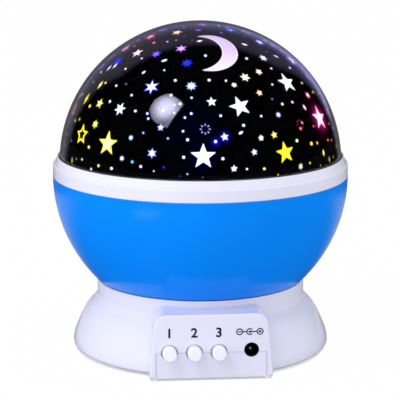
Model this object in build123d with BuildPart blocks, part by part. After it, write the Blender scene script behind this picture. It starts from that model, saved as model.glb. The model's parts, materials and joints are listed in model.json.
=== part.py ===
from build123d import *
import os
from math import acos, cos, pi, radians, sin, sqrt, tan

# Star night light projector: a globe that turns on a round base. Lamps on a still post inside the globe
# shine through the printed dome.
# Frame: origin on the ground under the globe's axis, +Z up, the control panel faces -Y. Millimetres.

os.makedirs("parts", exist_ok=True)

# ---- Driving dimensions ---------------------------------------------------------------------------

# clearances
running_gap = 0.05           # a shaft or sleeve in its bore, radial
seam_gap = 0.25              # between fixed mouldings
free_gap = 0.5               # between pieces that pass each other
glide_gap = 0.15             # under the turning globe
head_gap = 0.3               # round a screw's sunk head
pilot_spare = 0.3            # a pilot hole runs this far past its screw

# base
base_z = 1.0                 # the feet lift the base this far
base_radius = 56.8
base_edge_radius = 1.6
shell_wall = 2.0
collar_radius = 46.0
collar_wall = 2.5
neck_z = 25.0                # where the skirt ends and the collar begins
collar_top_z = 31.1
collar_edge_radius = 0.25
rim_inset = 0.28             # the globe meets the collar's top this far inside its edge
# the skirt between its foot and the neck: share of the way in, share of the way up
skirt_shape = ((0.0, 0.0), (0.15, 0.28), (0.39, 0.54), (0.77, 0.80), (1.0, 1.0))
deck_thickness = 2.0

# control housing on the front of the base
panel_reach = 0.4            # its front face stands this far ahead of the skirt's foot
housing_half_width = 26.25   # at the foot
housing_draft = 5.6          # degrees that each side leans in
housing_top_z = 28.4
housing_corner_radius = 5.5
housing_foot_radius = 0.8    # at its lower corners
housing_edge_radius = 0.9
tongue_half_width = 23.2
tongue_inset = 0.2
tongue_gap = 0.15            # between the tongue and the housing
seam_z = 12.1                # the tongue ends and the panel begins

# buttons, switches and power inlet
button_xs = (-17.7, -7.25, 3.08)
button_lift = 0.3            # the caps stand this far above the middle of their holes
button_radius = 3.0
button_hole_radius = 3.55
button_reach = 4.5           # ahead of the panel
button_flange_radius = 4.1
button_flange_thickness = 1.0
button_neck_radius = 2.4
button_neck_length = 1.6
button_edge_radius = 0.7
button_rest_gap = 0.3        # from the panel to the button's flange
button_socket_depth = 4.0
button_travel = 1.5
plunger_radius = 1.4
plunger_end_gap = 0.6        # left in the switch when the button is pressed home
switch_size = 7.0
switch_depth = 5.7
switch_floor = 0.7
switch_chamfer = 0.4
board_gap = 10.9             # from the panel's inner face to the control board
board_thickness = 1.6
board_half_width = 21.5
board_corner_radius = 1.0
board_low_z = 4.6
board_high_z = 21.8
board_boss_x = 18.5
board_boss_z = 19.6
board_boss_radius = 1.9
inlet_x = 16.82
inlet_z = 12.9
inlet_bore_radius = 2.8      # takes a 5.5 mm barrel plug
inlet_nose_wall = 0.3
inlet_pin_radius = 1.0
inlet_pin_edge_radius = 0.6
inlet_pin_tail_radius = 0.8  # where the pin is set in the inlet's back wall
inlet_pin_seat = 1.0         # how deep its tail sits there
inlet_pin_inset = 1.0        # the pin ends this far inside the nose
inlet_width = 9.0
inlet_height = 9.0
inlet_bore_depth = 9.0

# bottom cover, battery door and cells
cover_floor = 2.4
door_thickness = 1.4
door_lip = 1.8               # how far the door reaches past the box's inside
door_tab_length = 7.0
door_tab_half_width = 5.0
door_tab_corner_radius = 2.0
door_screw_inset = 3.5       # from the tab's end to its screw
door_boss_radius = 3.0
door_boss_height = 6.0
cell_radius = 5.25           # AAA
cell_length = 44.5
cell_nub_radius = 1.9
cell_nub_length = 1.0
cell_edge_radius = 0.4
cell_pitch = 11.5
cell_count = 4
cell_row_y = 15.0            # middle of the row
cell_gap = 0.4
box_wall = 1.5
box_corner_radius = 3.0
spring_length = 4.3
spring_wire_radius = 0.3
spring_radius = 3.4
spring_turns = 4
contact_thickness = 0.4
contact_size = 8.6
foot_radius = 4.0
foot_thickness = 1.5
foot_chamfer = 0.3
foot_inset = 8.0             # from the skirt's foot to the middle of a rubber foot
foot_angles = (40, 140, 215, 325)
cover_screw_inset = 10.6     # from midway between skirt and collar to the cover's screws
cover_screw_angles = (15, 165, 228, 312)
cover_boss_radius = 3.2

# drive
gear_module = 0.8
gear_teeth = 48
pinion_teeth = 14
pressure_angle = 25.0
tooth_backlash = 0.12        # arc taken off each tooth at the pitch circle
tooth_reach = 0.95           # above and below the pitch circle, as shares of the module
tooth_root = 1.2
gear_thickness = 3.0
hub_radius = 12.5
hub_bore_radius = 8.0
bush_wall = 1.5
bush_flange_radius = 15.5
glide_thickness = 0.65
glide_width = 3.5
glide_inset = 1.5            # from the edge of the bowl's floor
motor_radius = 12.0
motor_height = 12.0
motor_boss_radius = 4.0
motor_boss_height = 0.8
motor_shaft_radius = 1.5
motor_ear_half_span = 15.5
motor_ear_radius = 3.3
motor_ear_thickness = 1.0
motor_edge_radius = 0.6
motor_bearing_depth = 2.0
motor_post_radius = 3.0
terminal_width = 7.0
terminal_depth = 3.0
terminal_height = 4.0
terminal_reach = 1.5         # out of the motor's side
terminal_drop = 9.0          # from the motor's top to the terminal block's foot

# lamp post and lamps
post_flange_radius = 12.0
post_flange_thickness = 1.8
post_foot_radius = 7.0
post_top_radius = 6.0
post_bore_radius = 4.0
post_head_radius = 8.2
post_head_thickness = 2.0
post_slot_width = 3.2
post_slot_height = 2.6
post_screw_x = 8.4
post_front_screw_y = -10.1
post_boss_radius = 1.6
post_front_boss_radius = 2.2
lamp_board_radius = 11.5
lamp_board_thickness = 1.2
lamp_radius = 2.5
lamp_rim_radius = 2.9
lamp_rim_thickness = 1.0
lamp_height = 8.7
lamp_circle = 6.3

# globe
globe_radius = 65.0
bowl_wall = 2.2
bowl_relief = 0.7            # the bowl steps in where it drops into the collar
relief_gap = 0.5             # the step stays this far above the collar
bowl_floor = 2.4
ring_inset = 0.1             # the ring is this much smaller than the bowl's rim
ring_lower_height = 5.4
ring_total_height = 8.8
ring_edge_radius = 0.5
ring_chamfer = 0.25
ring_lip_width = 0.7         # the rounded lip round the dome: its width, crest and falls
ring_lip_crest = 0.38
ring_lip_outer_fall = 0.4
ring_lip_inner_fall = 0.3
ring_step = 0.9              # from the lower tier in to the upper tier
ring_ledge_thickness = 1.5
ring_ledge_rise = 1.0        # top of the ledge above the bowl's rim
ring_ledge_width = 6.0
ring_spigot_depth = 4.0
ring_spigot_wall = 1.7
ring_boss_radius = 2.6
ring_boss_length = 5.0
deck_plate_thickness = 1.5
deck_screw_count = 4

# dome
dome_setback = 3.0           # the dome is this much smaller than the globe
dome_wall = 1.5
dome_rise = 4.2              # the round part starts this far above the ledge
dome_ring_gap = 0.3
film_gap = 0.1
film_thickness = 0.5

# screws: shank radius, head radius, head height
small_screw = (0.95, 1.8, 1.2)
cover_screw = (1.2, 2.4, 1.3)
door_screw = (0.95, 1.8, 0.8)
screw_slot_width = 0.5
cover_screw_length = 12.0
door_screw_length = 6.0
board_screw_length = 6.0
motor_screw_length = 4.8
gear_screw_length = 5.6
post_screw_length = 4.6
lamp_board_screw_length = 4.0
deck_screw_length = 6.0

# inner leads
lead_radius = 0.9
lead_gap = 0.4               # over the cell box
battery_lead_box_x = -20.0
battery_lead_board_x = -16.5
battery_lead_z = 8.5
battery_lead_runs = (8.0, 12.7)        # straight out of the box, straight into the board
battery_lead_bends = (12.0, 12.0)
motor_lead_x = 18.0
motor_lead_bends = (3.0,)
lamp_lead_x = 20.3
lamp_lead_entry_x = 14.0
lamp_lead_bends = (8.0, 5.0, 2.8)

# ---- Sizes worked out from them -------------------------------------------------------------------

panel_y = -(base_radius + panel_reach)
panel_inner_y = panel_y + shell_wall
housing_depth = -panel_y - collar_radius / sqrt(2)
cover_radius = base_radius - shell_wall - free_gap
foot_circle = base_radius - foot_inset
cover_screw_circle = (base_radius + collar_radius) / 2 - cover_screw_inset
cover_top_z = base_z + cover_floor

# the height of the stack above the cells, from the ground up
cell_z = base_z + door_thickness + cell_gap + cell_radius
box_roof_z = cell_z + cell_radius + free_gap
post_foot_z = box_roof_z + box_wall
gear_z = post_foot_z + post_flange_thickness + small_screw[2] + free_gap
gear_top_z = gear_z + gear_thickness
deck_z = gear_top_z + free_gap
deck_top_z = deck_z + deck_thickness
glide_top_z = deck_top_z + glide_thickness
bowl_floor_z = glide_top_z + glide_gap

# the globe sits in the collar: its sphere meets the collar's top just inside the edge
rim_radius = collar_radius - rim_inset
globe_z = collar_top_z + sqrt(globe_radius ** 2 - rim_radius ** 2)
relief_radius = globe_radius - bowl_relief
inner_radius = globe_radius - bowl_wall
relief_z = collar_top_z + relief_gap

ledge_z = globe_z + ring_ledge_rise
ring_top_z = globe_z + ring_total_height
ring_radius = globe_radius - ring_inset
dome_radius = globe_radius - dome_setback
ring_bore_radius = dome_radius + dome_ring_gap
deck_plate_radius = dome_radius - dome_wall - film_gap - film_thickness - free_gap
deck_plate_top_z = ledge_z + deck_plate_thickness
deck_screw_circle = deck_plate_radius - ring_boss_radius
dome_z = ledge_z + dome_rise

box_half_length = (cell_length + spring_length) / 2 + contact_thickness
box_half_width = cell_count * cell_pitch / 2 + 2 * running_gap
cell_ys = [cell_row_y + (number - (cell_count - 1) / 2) * cell_pitch for number in range(cell_count)]
door_half_length = box_half_length + door_lip
door_half_width = box_half_width + door_lip
door_tab_y = cell_row_y + door_half_width + door_tab_length
door_screw_y = door_tab_y - door_screw_inset

gear_distance = gear_module * (gear_teeth + pinion_teeth) / 2
bush_radius = hub_radius + running_gap + bush_wall
board_y = panel_inner_y + board_gap
lamp_board_z = deck_plate_top_z + free_gap
cell_valley_y = cell_ys[0] + cell_pitch / 2
post_screw_points = [
    (post_screw_x, cell_valley_y),
    (-post_screw_x, cell_valley_y),
    (0.0, post_front_screw_y),
]


def round_point(circle, angle):
    """A point on a circle round the origin, at an angle in degrees."""
    return (circle * cos(radians(angle)), circle * sin(radians(angle)))


def ball_width(radius, centre_z, height):
    """How far a ball's skin is from its upright axis at a height."""
    return sqrt(radius ** 2 - (height - centre_z) ** 2)


def housing_width(height, wall=0.0):
    """Half width of the control housing at a height, less a wall."""
    return housing_half_width - (height - base_z) * tan(radians(housing_draft)) - wall


def skirt_points(inset):
    """The skirt's line from its foot to the neck, moved inwards."""
    foot_z = base_z + base_edge_radius
    drop = base_radius - collar_radius
    return [
        (base_radius - inset - share_in * drop, foot_z + share_up * (neck_z - foot_z))
        for share_in, share_up in skirt_shape
    ]


def finish(piece, name):
    """Name a finished piece and write its file."""
    piece.part.label = name
    export_step(piece.part, f"parts/{name}.step")


def screws(name, plane, points, screw, length):
    """A set of pan head screws: heads stand on the plane, shanks go the other way."""
    shank_radius, head_radius, head_height = screw
    with BuildPart() as screw_set:
        with BuildSketch(plane):
            with Locations(*points):
                Circle(head_radius)
        extrude(amount=head_height)
        with BuildSketch(plane):
            with Locations(*points):
                Circle(shank_radius)
        extrude(amount=-length)
        with BuildSketch(plane.offset(head_height)):
            with Locations(*points):
                Rectangle(1.3 * head_radius, screw_slot_width)
                Rectangle(screw_slot_width, 1.3 * head_radius)
        extrude(amount=-head_height / 2, mode=Mode.SUBTRACT)
    finish(screw_set, name)


def facing_down(height):
    """A level plane that looks down, its x the same as the model's and its y turned round."""
    return Plane(origin=(0, 0, height), x_dir=(1, 0, 0), z_dir=(0, 0, -1))


def facing_back(depth):
    """An upright plane that looks to the back, its x turned round."""
    return Plane(origin=(0, depth, 0), x_dir=(-1, 0, 0), z_dir=(0, 1, 0))


def ball_arc(radius, centre_z, low_z, high_z):
    """An arc of a ball's outline between two heights."""
    middle_z = (low_z + high_z) / 2
    heights = (low_z, middle_z, high_z)
    return ThreePointArc(*[(ball_width(radius, centre_z, height), height) for height in heights])


def lead(name, points, bends):
    """A wire bundle along straight runs joined by arcs."""
    with BuildPart() as tube:
        with BuildLine() as route:
            FilletPolyline(*points, radius=bends)
        with BuildSketch(Plane(origin=route.line @ 0, z_dir=route.line % 0)):
            Circle(lead_radius)
        sweep(path=route.line)
    finish(tube, name)


def gear_face(teeth, phase):
    """A spur gear's face: a root circle with involute teeth, the first one at the phase angle."""
    pitch_radius = gear_module * teeth / 2
    base_circle = pitch_radius * cos(radians(pressure_angle))
    root_radius = pitch_radius - tooth_root * gear_module
    tip_radius = pitch_radius + tooth_reach * gear_module
    flank_foot = max(base_circle, root_radius)
    pitch_roll = tan(radians(pressure_angle)) - radians(pressure_angle)
    half_tooth = (pi / 2 - tooth_backlash / gear_module) / teeth + pitch_roll

    flank = []
    for step in range(5):
        radius = flank_foot + step / 4 * (tip_radius - flank_foot)
        slope = acos(min(base_circle / radius, 1.0))
        angle = half_tooth - (tan(slope) - slope)
        flank.append((radius * cos(angle), radius * sin(angle)))
    other_flank = [(x, -y) for x, y in flank]
    foot_angle = half_tooth
    inner = 0.97 * root_radius
    inner_corner = (inner * cos(foot_angle), inner * sin(foot_angle))

    with BuildSketch() as tooth:
        with BuildLine():
            Line(inner_corner, flank[0])
            Spline(*flank)
            Line(flank[-1], other_flank[-1])
            Spline(*other_flank)
            Line(other_flank[0], (inner_corner[0], -inner_corner[1]))
            Line((inner_corner[0], -inner_corner[1]), inner_corner)
        make_face()
    with BuildSketch() as wheel:
        Circle(root_radius)
        with PolarLocations(0, teeth, start_angle=phase):
            add(tooth.sketch)
    return wheel.sketch


# ---- Base -----------------------------------------------------------------------------------------

# Base shell: skirt, collar and control housing in one moulding, with a deck across it.
with BuildPart() as base_shell:
    with BuildSketch(Plane.XZ):
        with BuildLine():
            Line((0, base_z), (base_radius - base_edge_radius, base_z))
            TangentArc(
                (base_radius - base_edge_radius, base_z),
                (base_radius, base_z + base_edge_radius),
                tangent=(1, 0),
            )
            Spline(*skirt_points(0), tangents=((0, 1), (0, 1)))
            Line((collar_radius, neck_z), (collar_radius, collar_top_z - collar_edge_radius))
            TangentArc(
                (collar_radius, collar_top_z - collar_edge_radius),
                (collar_radius - collar_edge_radius, collar_top_z),
                tangent=(0, 1),
            )
            Line((collar_radius - collar_edge_radius, collar_top_z), (0, collar_top_z))
            Line((0, collar_top_z), (0, base_z))
        make_face()
    revolve(axis=Axis.Z)

    # the housing, its front outline rounded
    with BuildSketch(Plane.XZ.offset(-panel_y)) as housing_front:
        with BuildLine():
            Polyline(
                (-housing_width(base_z), base_z),
                (housing_width(base_z), base_z),
                (housing_width(housing_top_z), housing_top_z),
                (-housing_width(housing_top_z), housing_top_z),
                close=True,
            )
        make_face()
        fillet(housing_front.vertices().group_by(Axis.Y)[-1], radius=housing_corner_radius)
        fillet(housing_front.vertices().group_by(Axis.Y)[0], radius=housing_foot_radius)
    extrude(amount=-housing_depth)
    front_edges = faces().sort_by(Axis.Y)[0].edges()
    front_edges = front_edges.filter_by(lambda edge: edge.center().Z > base_z + running_gap)
    fillet(front_edges, radius=housing_edge_radius)

    # the hollow under the skirt, then the one inside the housing
    with BuildSketch(Plane.XZ):
        with BuildLine():
            inner_line = skirt_points(shell_wall)
            Line((0, base_z), (inner_line[0][0], base_z))
            Line((inner_line[0][0], base_z), inner_line[0])
            Spline(*inner_line, tangents=((0, 1), (0, 1)))
            Line(inner_line[-1], (0, neck_z))
            Line((0, neck_z), (0, base_z))
        make_face()
    revolve(axis=Axis.Z, mode=Mode.SUBTRACT)
    with BuildSketch(Plane.XZ.offset(-panel_inner_y)):
        with BuildLine():
            Polyline(
                (-housing_width(base_z, shell_wall), base_z),
                (housing_width(base_z, shell_wall), base_z),
                (housing_width(housing_top_z, shell_wall), housing_top_z - shell_wall),
                (-housing_width(housing_top_z, shell_wall), housing_top_z - shell_wall),
                close=True,
            )
        make_face()
    extrude(amount=-(housing_depth - shell_wall), mode=Mode.SUBTRACT)

    # the collar's mouth follows the globe
    with Locations((0, 0, globe_z)):
        Sphere(globe_radius, mode=Mode.SUBTRACT)

    # the deck and the collar's foot, which close both hollows above
    with BuildSketch(Plane.XY.offset(deck_z)):
        Circle(collar_radius)
    extrude(amount=housing_top_z - deck_z)
    with BuildSketch(Plane.XY.offset(deck_top_z)):
        Circle(collar_radius - collar_wall)
    extrude(amount=collar_top_z - deck_top_z, mode=Mode.SUBTRACT)
    with BuildSketch(Plane.XY.offset(deck_z)):
        Circle(bush_radius + running_gap)
    extrude(amount=deck_thickness, mode=Mode.SUBTRACT)

    # posts for the cover's screws and the motor's, hung from the deck
    cover_points = [round_point(cover_screw_circle, angle) for angle in cover_screw_angles]
    motor_points = [(-motor_ear_half_span, -gear_distance), (motor_ear_half_span, -gear_distance)]
    motor_top_z = gear_z - free_gap - motor_boss_height
    with BuildSketch(Plane.XY.offset(cover_top_z)):
        with Locations(*cover_points):
            Circle(cover_boss_radius)
    extrude(amount=deck_z + deck_thickness / 2 - cover_top_z)
    with BuildSketch(Plane.XY.offset(motor_top_z)):
        with Locations(*motor_points):
            Circle(motor_post_radius)
    extrude(amount=deck_z + deck_thickness / 2 - motor_top_z)
    with BuildSketch(Plane.XY.offset(cover_top_z)):
        with Locations(*cover_points):
            Circle(cover_screw[0] + running_gap)
    cover_screw_tip_z = base_z + cover_screw[2] + cover_screw_length
    extrude(amount=cover_screw_tip_z + pilot_spare - cover_top_z, mode=Mode.SUBTRACT)
    with BuildSketch(Plane.XY.offset(motor_top_z)):
        with Locations(*motor_points):
            Circle(small_screw[0] + running_gap)
    extrude(amount=motor_screw_length - motor_ear_thickness + pilot_spare, mode=Mode.SUBTRACT)

    # posts that carry the control board, behind the panel
    board_boss_points = [(-board_boss_x, board_boss_z), (board_boss_x, board_boss_z)]
    with BuildSketch(Plane.XZ.offset(-panel_inner_y)):
        with Locations(*board_boss_points):
            Circle(board_boss_radius)
    extrude(amount=-board_gap)
    with BuildSketch(Plane.XZ.offset(-board_y)):
        with Locations(*board_boss_points):
            Circle(small_screw[0] + running_gap)
    extrude(amount=board_screw_length - board_thickness + pilot_spare, mode=Mode.SUBTRACT)

    # the opening for the cover's tongue, the button holes and the inlet's hole
    with BuildSketch(Plane.XZ.offset(-panel_y)):
        with Locations((0, (base_z + seam_z) / 2)):
            Rectangle(2 * (tongue_half_width + tongue_gap), seam_z - base_z)
        with Locations(*[(x, seam_z) for x in button_xs]):
            Circle(button_hole_radius)
        with Locations((inlet_x, inlet_z)):
            Circle(inlet_bore_radius + inlet_nose_wall + running_gap)
    extrude(amount=-shell_wall, mode=Mode.SUBTRACT)
finish(base_shell, "base_shell")

# Bottom cover: the floor, the box for the cells and the tongue that closes the housing's front.
with BuildPart() as bottom_cover:
    tongue_y = panel_y + tongue_inset
    with BuildSketch(Plane.XY.offset(base_z)):
        Circle(cover_radius)
        with Locations((0, tongue_y / 2)):
            Rectangle(2 * tongue_half_width, -tongue_y)
    extrude(amount=cover_floor)
    with BuildSketch(Plane.XY.offset(base_z)):
        with Locations((0, (tongue_y + panel_inner_y) / 2)):
            Rectangle(2 * tongue_half_width, panel_inner_y - tongue_y)
    extrude(amount=seam_z - tongue_gap - base_z)
    with BuildSketch(Plane.XZ.offset(-tongue_y)):
        with Locations(*[(x, seam_z) for x in button_xs]):
            Circle(button_hole_radius)
        with Locations((inlet_x, inlet_z)):
            Circle(inlet_bore_radius + inlet_nose_wall + running_gap)
    extrude(amount=-shell_wall, mode=Mode.SUBTRACT)

    # posts under the lamp post's screws, then the box over them
    post_pilot_depth = post_screw_length - post_flange_thickness + pilot_spare
    with BuildSketch(Plane.XY.offset(post_foot_z)):
        with Locations(*post_screw_points[:2]):
            Circle(post_boss_radius)
    extrude(amount=-(post_pilot_depth + pilot_spare))
    with BuildSketch(Plane.XY.offset(cover_top_z)):
        with Locations(post_screw_points[2]):
            Circle(post_front_boss_radius)
    extrude(amount=post_foot_z - cover_top_z)
    with BuildSketch(Plane.XY.offset(cover_top_z)) as box_outline:
        with Locations((0, cell_row_y)):
            Rectangle(2 * (box_half_length + box_wall), 2 * (box_half_width + box_wall))
        fillet(box_outline.vertices(), radius=box_corner_radius)
        with Locations((0, cell_row_y)):
            Rectangle(2 * box_half_length, 2 * box_half_width, mode=Mode.SUBTRACT)
    extrude(amount=post_foot_z - cover_top_z)
    with BuildSketch(Plane.XY.offset(box_roof_z)):
        with Locations((0, cell_row_y)):
            Rectangle(2 * box_half_length, 2 * box_half_width)
    extrude(amount=box_wall)

    # the door's opening: a rebate below, the box's own width above
    with BuildSketch(Plane.XY.offset(base_z)):
        with Locations((0, cell_row_y)):
            Rectangle(2 * box_half_length, 2 * box_half_width)
    extrude(amount=cover_floor, mode=Mode.SUBTRACT)
    with BuildSketch(Plane.XY.offset(base_z)):
        with Locations((0, cell_row_y)):
            Rectangle(2 * (door_half_length + seam_gap), 2 * (door_half_width + seam_gap))
        with Locations((0, (door_tab_y + seam_gap + cell_row_y) / 2)):
            Rectangle(2 * (door_tab_half_width + seam_gap), door_tab_y + seam_gap - cell_row_y)
    extrude(amount=door_thickness + running_gap, mode=Mode.SUBTRACT)
    with BuildSketch(Plane.XY.offset(cover_top_z)):
        with Locations((0, door_screw_y)):
            Circle(door_boss_radius)
    extrude(amount=door_boss_height)
    with BuildSketch(Plane.XY.offset(base_z)):
        with Locations((0, door_screw_y)):
            Circle(small_screw[0] + running_gap)
    extrude(amount=door_screw[2] + door_screw_length + pilot_spare, mode=Mode.SUBTRACT)

    # screw holes with sunk heads, foot seats and the lamp post's pilot holes
    with BuildSketch(Plane.XY.offset(base_z)):
        with Locations(*cover_points):
            Circle(cover_screw[0] + seam_gap)
    extrude(amount=cover_floor, mode=Mode.SUBTRACT)
    with BuildSketch(Plane.XY.offset(base_z)):
        with Locations(*cover_points):
            Circle(cover_screw[1] + head_gap)
    extrude(amount=cover_screw[2], mode=Mode.SUBTRACT)
    with BuildSketch(Plane.XY.offset(base_z)):
        with Locations(*[round_point(foot_circle, angle) for angle in foot_angles]):
            Circle(foot_radius + running_gap)
    extrude(amount=foot_thickness - base_z, mode=Mode.SUBTRACT)
    with BuildSketch(Plane.XY.offset(post_foot_z)):
        with Locations(*post_screw_points):
            Circle(small_screw[0] + running_gap)
    extrude(amount=-post_pilot_depth, mode=Mode.SUBTRACT)
finish(bottom_cover, "bottom_cover")

cover_screw_points = [(x, -y) for x, y in cover_points]
screws(
    "cover_screws",
    facing_down(base_z + cover_screw[2]),
    cover_screw_points,
    cover_screw,
    cover_screw_length,
)

# Rubber feet.
with BuildPart() as rubber_feet:
    with BuildSketch(Plane.XY):
        with Locations(*[round_point(foot_circle, angle) for angle in foot_angles]):
            Circle(foot_radius)
    extrude(amount=foot_thickness)
    chamfer(rubber_feet.faces().sort_by(Axis.Z)[:len(foot_angles)].edges(), length=foot_chamfer)
finish(rubber_feet, "rubber_feet")

# ---- Cells ----------------------------------------------------------------------------------------

# The four cells lie along X, every other one turned round; a coil spring presses on each flat end.
contact_x = box_half_length - contact_thickness
for number, y in enumerate(cell_ys, start=1):
    side = 1 if number % 2 else -1
    with BuildPart() as cell:
        with BuildSketch(Plane.YZ.offset(side * (contact_x - cell_nub_length))):
            with Locations((y, cell_z)):
                Circle(cell_radius)
        extrude(amount=-side * (cell_length - cell_nub_length))
        fillet(cell.edges().filter_by(GeomType.CIRCLE), radius=cell_edge_radius)
        with BuildSketch(Plane.YZ.offset(side * contact_x)):
            with Locations((y, cell_z)):
                Circle(cell_nub_radius)
        extrude(amount=-side * (cell_nub_length + cell_edge_radius))
    finish(cell, f"cell_{number}")

with BuildPart() as cell_contacts:
    for side in (-1, 1):
        with BuildSketch(Plane.YZ.offset(side * contact_x)):
            with Locations(*[(y, cell_z) for y in cell_ys]):
                Rectangle(contact_size, contact_size)
        extrude(amount=side * contact_thickness)
finish(cell_contacts, "cell_contacts")

with BuildPart() as cell_springs:
    for number, y in enumerate(cell_ys, start=1):
        side = 1 if number % 2 else -1
        start_x = -side * (contact_x - spring_wire_radius)
        coil_length = spring_length - 2 * spring_wire_radius
        with BuildLine() as coil:
            Helix(
                pitch=coil_length / spring_turns,
                height=coil_length,
                radius=spring_radius,
                center=(start_x, y, cell_z),
                direction=(side, 0, 0),
            )
        with BuildSketch(Plane(origin=coil.line @ 0, z_dir=coil.line % 0)):
            Circle(spring_wire_radius)
        sweep(path=coil.line, is_frenet=True)
finish(cell_springs, "cell_springs")

# Battery door, with a tab for its screw.
with BuildPart() as battery_door:
    with BuildSketch(Plane.XY.offset(base_z)):
        with Locations((0, cell_row_y)):
            Rectangle(2 * door_half_length, 2 * door_half_width)
        with Locations((0, (door_tab_y + cell_row_y) / 2)):
            Rectangle(2 * door_tab_half_width, door_tab_y - cell_row_y)
    extrude(amount=door_thickness)
    fillet(battery_door.edges().filter_by(Axis.Z).group_by(Axis.Y)[-1], radius=door_tab_corner_radius)
    with BuildSketch(Plane.XY.offset(base_z)):
        with Locations((0, door_screw_y)):
            Circle(door_screw[1] + head_gap)
    extrude(amount=door_screw[2], mode=Mode.SUBTRACT)
    with BuildSketch(Plane.XY.offset(base_z)):
        with Locations((0, door_screw_y)):
            Circle(door_screw[0] + running_gap)
    extrude(amount=door_thickness, mode=Mode.SUBTRACT)
finish(battery_door, "battery_door")
screws(
    "door_screw",
    facing_down(base_z + door_screw[2]),
    [(0, -door_screw_y)],
    door_screw,
    door_screw_length,
)

# ---- Controls -------------------------------------------------------------------------------------

with BuildPart() as control_board:
    with BuildSketch(Plane.XZ.offset(-board_y)) as board_outline:
        with Locations((0, (board_low_z + board_high_z) / 2)):
            Rectangle(2 * board_half_width, board_high_z - board_low_z)
        fillet(board_outline.vertices(), radius=board_corner_radius)
        with Locations(*board_boss_points):
            Circle(small_screw[0] + running_gap, mode=Mode.SUBTRACT)
    extrude(amount=-board_thickness)
finish(control_board, "control_board")
screws(
    "board_screws",
    facing_back(board_y + board_thickness),
    board_boss_points,
    small_screw,
    board_screw_length,
)

button_z = seam_z + button_lift
switch_y = board_y - switch_depth
flange_y = panel_inner_y + button_rest_gap
neck_end_y = flange_y + button_flange_thickness + button_neck_length
plunger_start_y = neck_end_y - button_socket_depth + 2 * running_gap
plunger_end_y = board_y - switch_floor - button_travel - plunger_end_gap
for number, x in enumerate(button_xs, start=1):
    # switch body, with the bore that its plunger slides in
    with BuildPart() as switch:
        with BuildSketch(Plane.XZ.offset(-board_y)):
            with Locations((x, button_z)):
                Rectangle(switch_size, switch_size)
        extrude(amount=switch_depth)
        with BuildSketch(Plane.XZ.offset(-switch_y)):
            with Locations((x, button_z)):
                Circle(plunger_radius + running_gap)
        extrude(amount=-(switch_depth - switch_floor), mode=Mode.SUBTRACT)
        chamfer(switch.faces().sort_by(Axis.Y)[0].outer_wire().edges(), length=switch_chamfer)
    finish(switch, f"switch_{number}")

    # button: a round cap, a flange behind the panel and a neck with a socket for the plunger
    with BuildPart() as button:
        with BuildSketch(Plane.XZ.offset(-flange_y)):
            with Locations((x, button_z)):
                Circle(button_radius)
        extrude(amount=flange_y - panel_y + button_reach)
        fillet(button.faces().sort_by(Axis.Y)[0].edges(), radius=button_edge_radius)
        with BuildSketch(Plane.XZ.offset(-flange_y)):
            with Locations((x, button_z)):
                Circle(button_flange_radius)
        extrude(amount=-button_flange_thickness)
        with BuildSketch(Plane.XZ.offset(-(flange_y + button_flange_thickness))):
            with Locations((x, button_z)):
                Circle(button_neck_radius)
        extrude(amount=-button_neck_length)
        with BuildSketch(Plane.XZ.offset(-neck_end_y)):
            with Locations((x, button_z)):
                Circle(plunger_radius + running_gap)
        extrude(amount=button_socket_depth, mode=Mode.SUBTRACT)
    finish(button, f"button_{number}")

    # plunger: from the button's socket into the switch, with room for the travel behind it
    with BuildPart() as plunger:
        with BuildSketch(Plane.XZ.offset(-plunger_start_y)):
            with Locations((x, button_z)):
                Circle(plunger_radius)
        extrude(amount=-(plunger_end_y - plunger_start_y))
    finish(plunger, f"plunger_{number}")

# Power inlet: a body on the board, a nose that fills the panel's hole, a bore round a centre pin.
inlet_nose_y = panel_y + 2 * running_gap
inlet_front_y = panel_inner_y + 2 * running_gap
inlet_bore_y = inlet_nose_y + shell_wall + inlet_bore_depth
with BuildPart() as power_inlet:
    with BuildSketch(Plane.XZ.offset(-inlet_front_y)):
        with Locations((inlet_x, inlet_z)):
            Rectangle(inlet_width, inlet_height)
    extrude(amount=-(board_y - inlet_front_y))
    with BuildSketch(Plane.XZ.offset(-inlet_front_y)):
        with Locations((inlet_x, inlet_z)):
            Circle(inlet_bore_radius + inlet_nose_wall)
    extrude(amount=inlet_front_y - inlet_nose_y)
    with BuildSketch(Plane.XZ.offset(-inlet_nose_y)):
        with Locations((inlet_x, inlet_z)):
            Circle(inlet_bore_radius)
    extrude(amount=-(inlet_bore_y - inlet_nose_y), mode=Mode.SUBTRACT)
    with BuildSketch(Plane.XZ.offset(-inlet_bore_y)):
        with Locations((inlet_x, inlet_z)):
            Circle(inlet_pin_tail_radius + running_gap)
    extrude(amount=-inlet_pin_seat, mode=Mode.SUBTRACT)
finish(power_inlet, "power_inlet")

with BuildPart() as inlet_pin:
    with BuildSketch(Plane.XZ.offset(-(inlet_bore_y + inlet_pin_seat))):
        with Locations((inlet_x, inlet_z)):
            Circle(inlet_pin_tail_radius)
    extrude(amount=inlet_pin_seat + running_gap)
    with BuildSketch(Plane.XZ.offset(-(inlet_bore_y - running_gap))):
        with Locations((inlet_x, inlet_z)):
            Circle(inlet_pin_radius)
    extrude(amount=inlet_bore_y - running_gap - inlet_nose_y - inlet_pin_inset)
    fillet(inlet_pin.faces().sort_by(Axis.Y)[0].edges(), radius=inlet_pin_edge_radius)
finish(inlet_pin, "inlet_pin")

# ---- Drive ----------------------------------------------------------------------------------------

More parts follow.
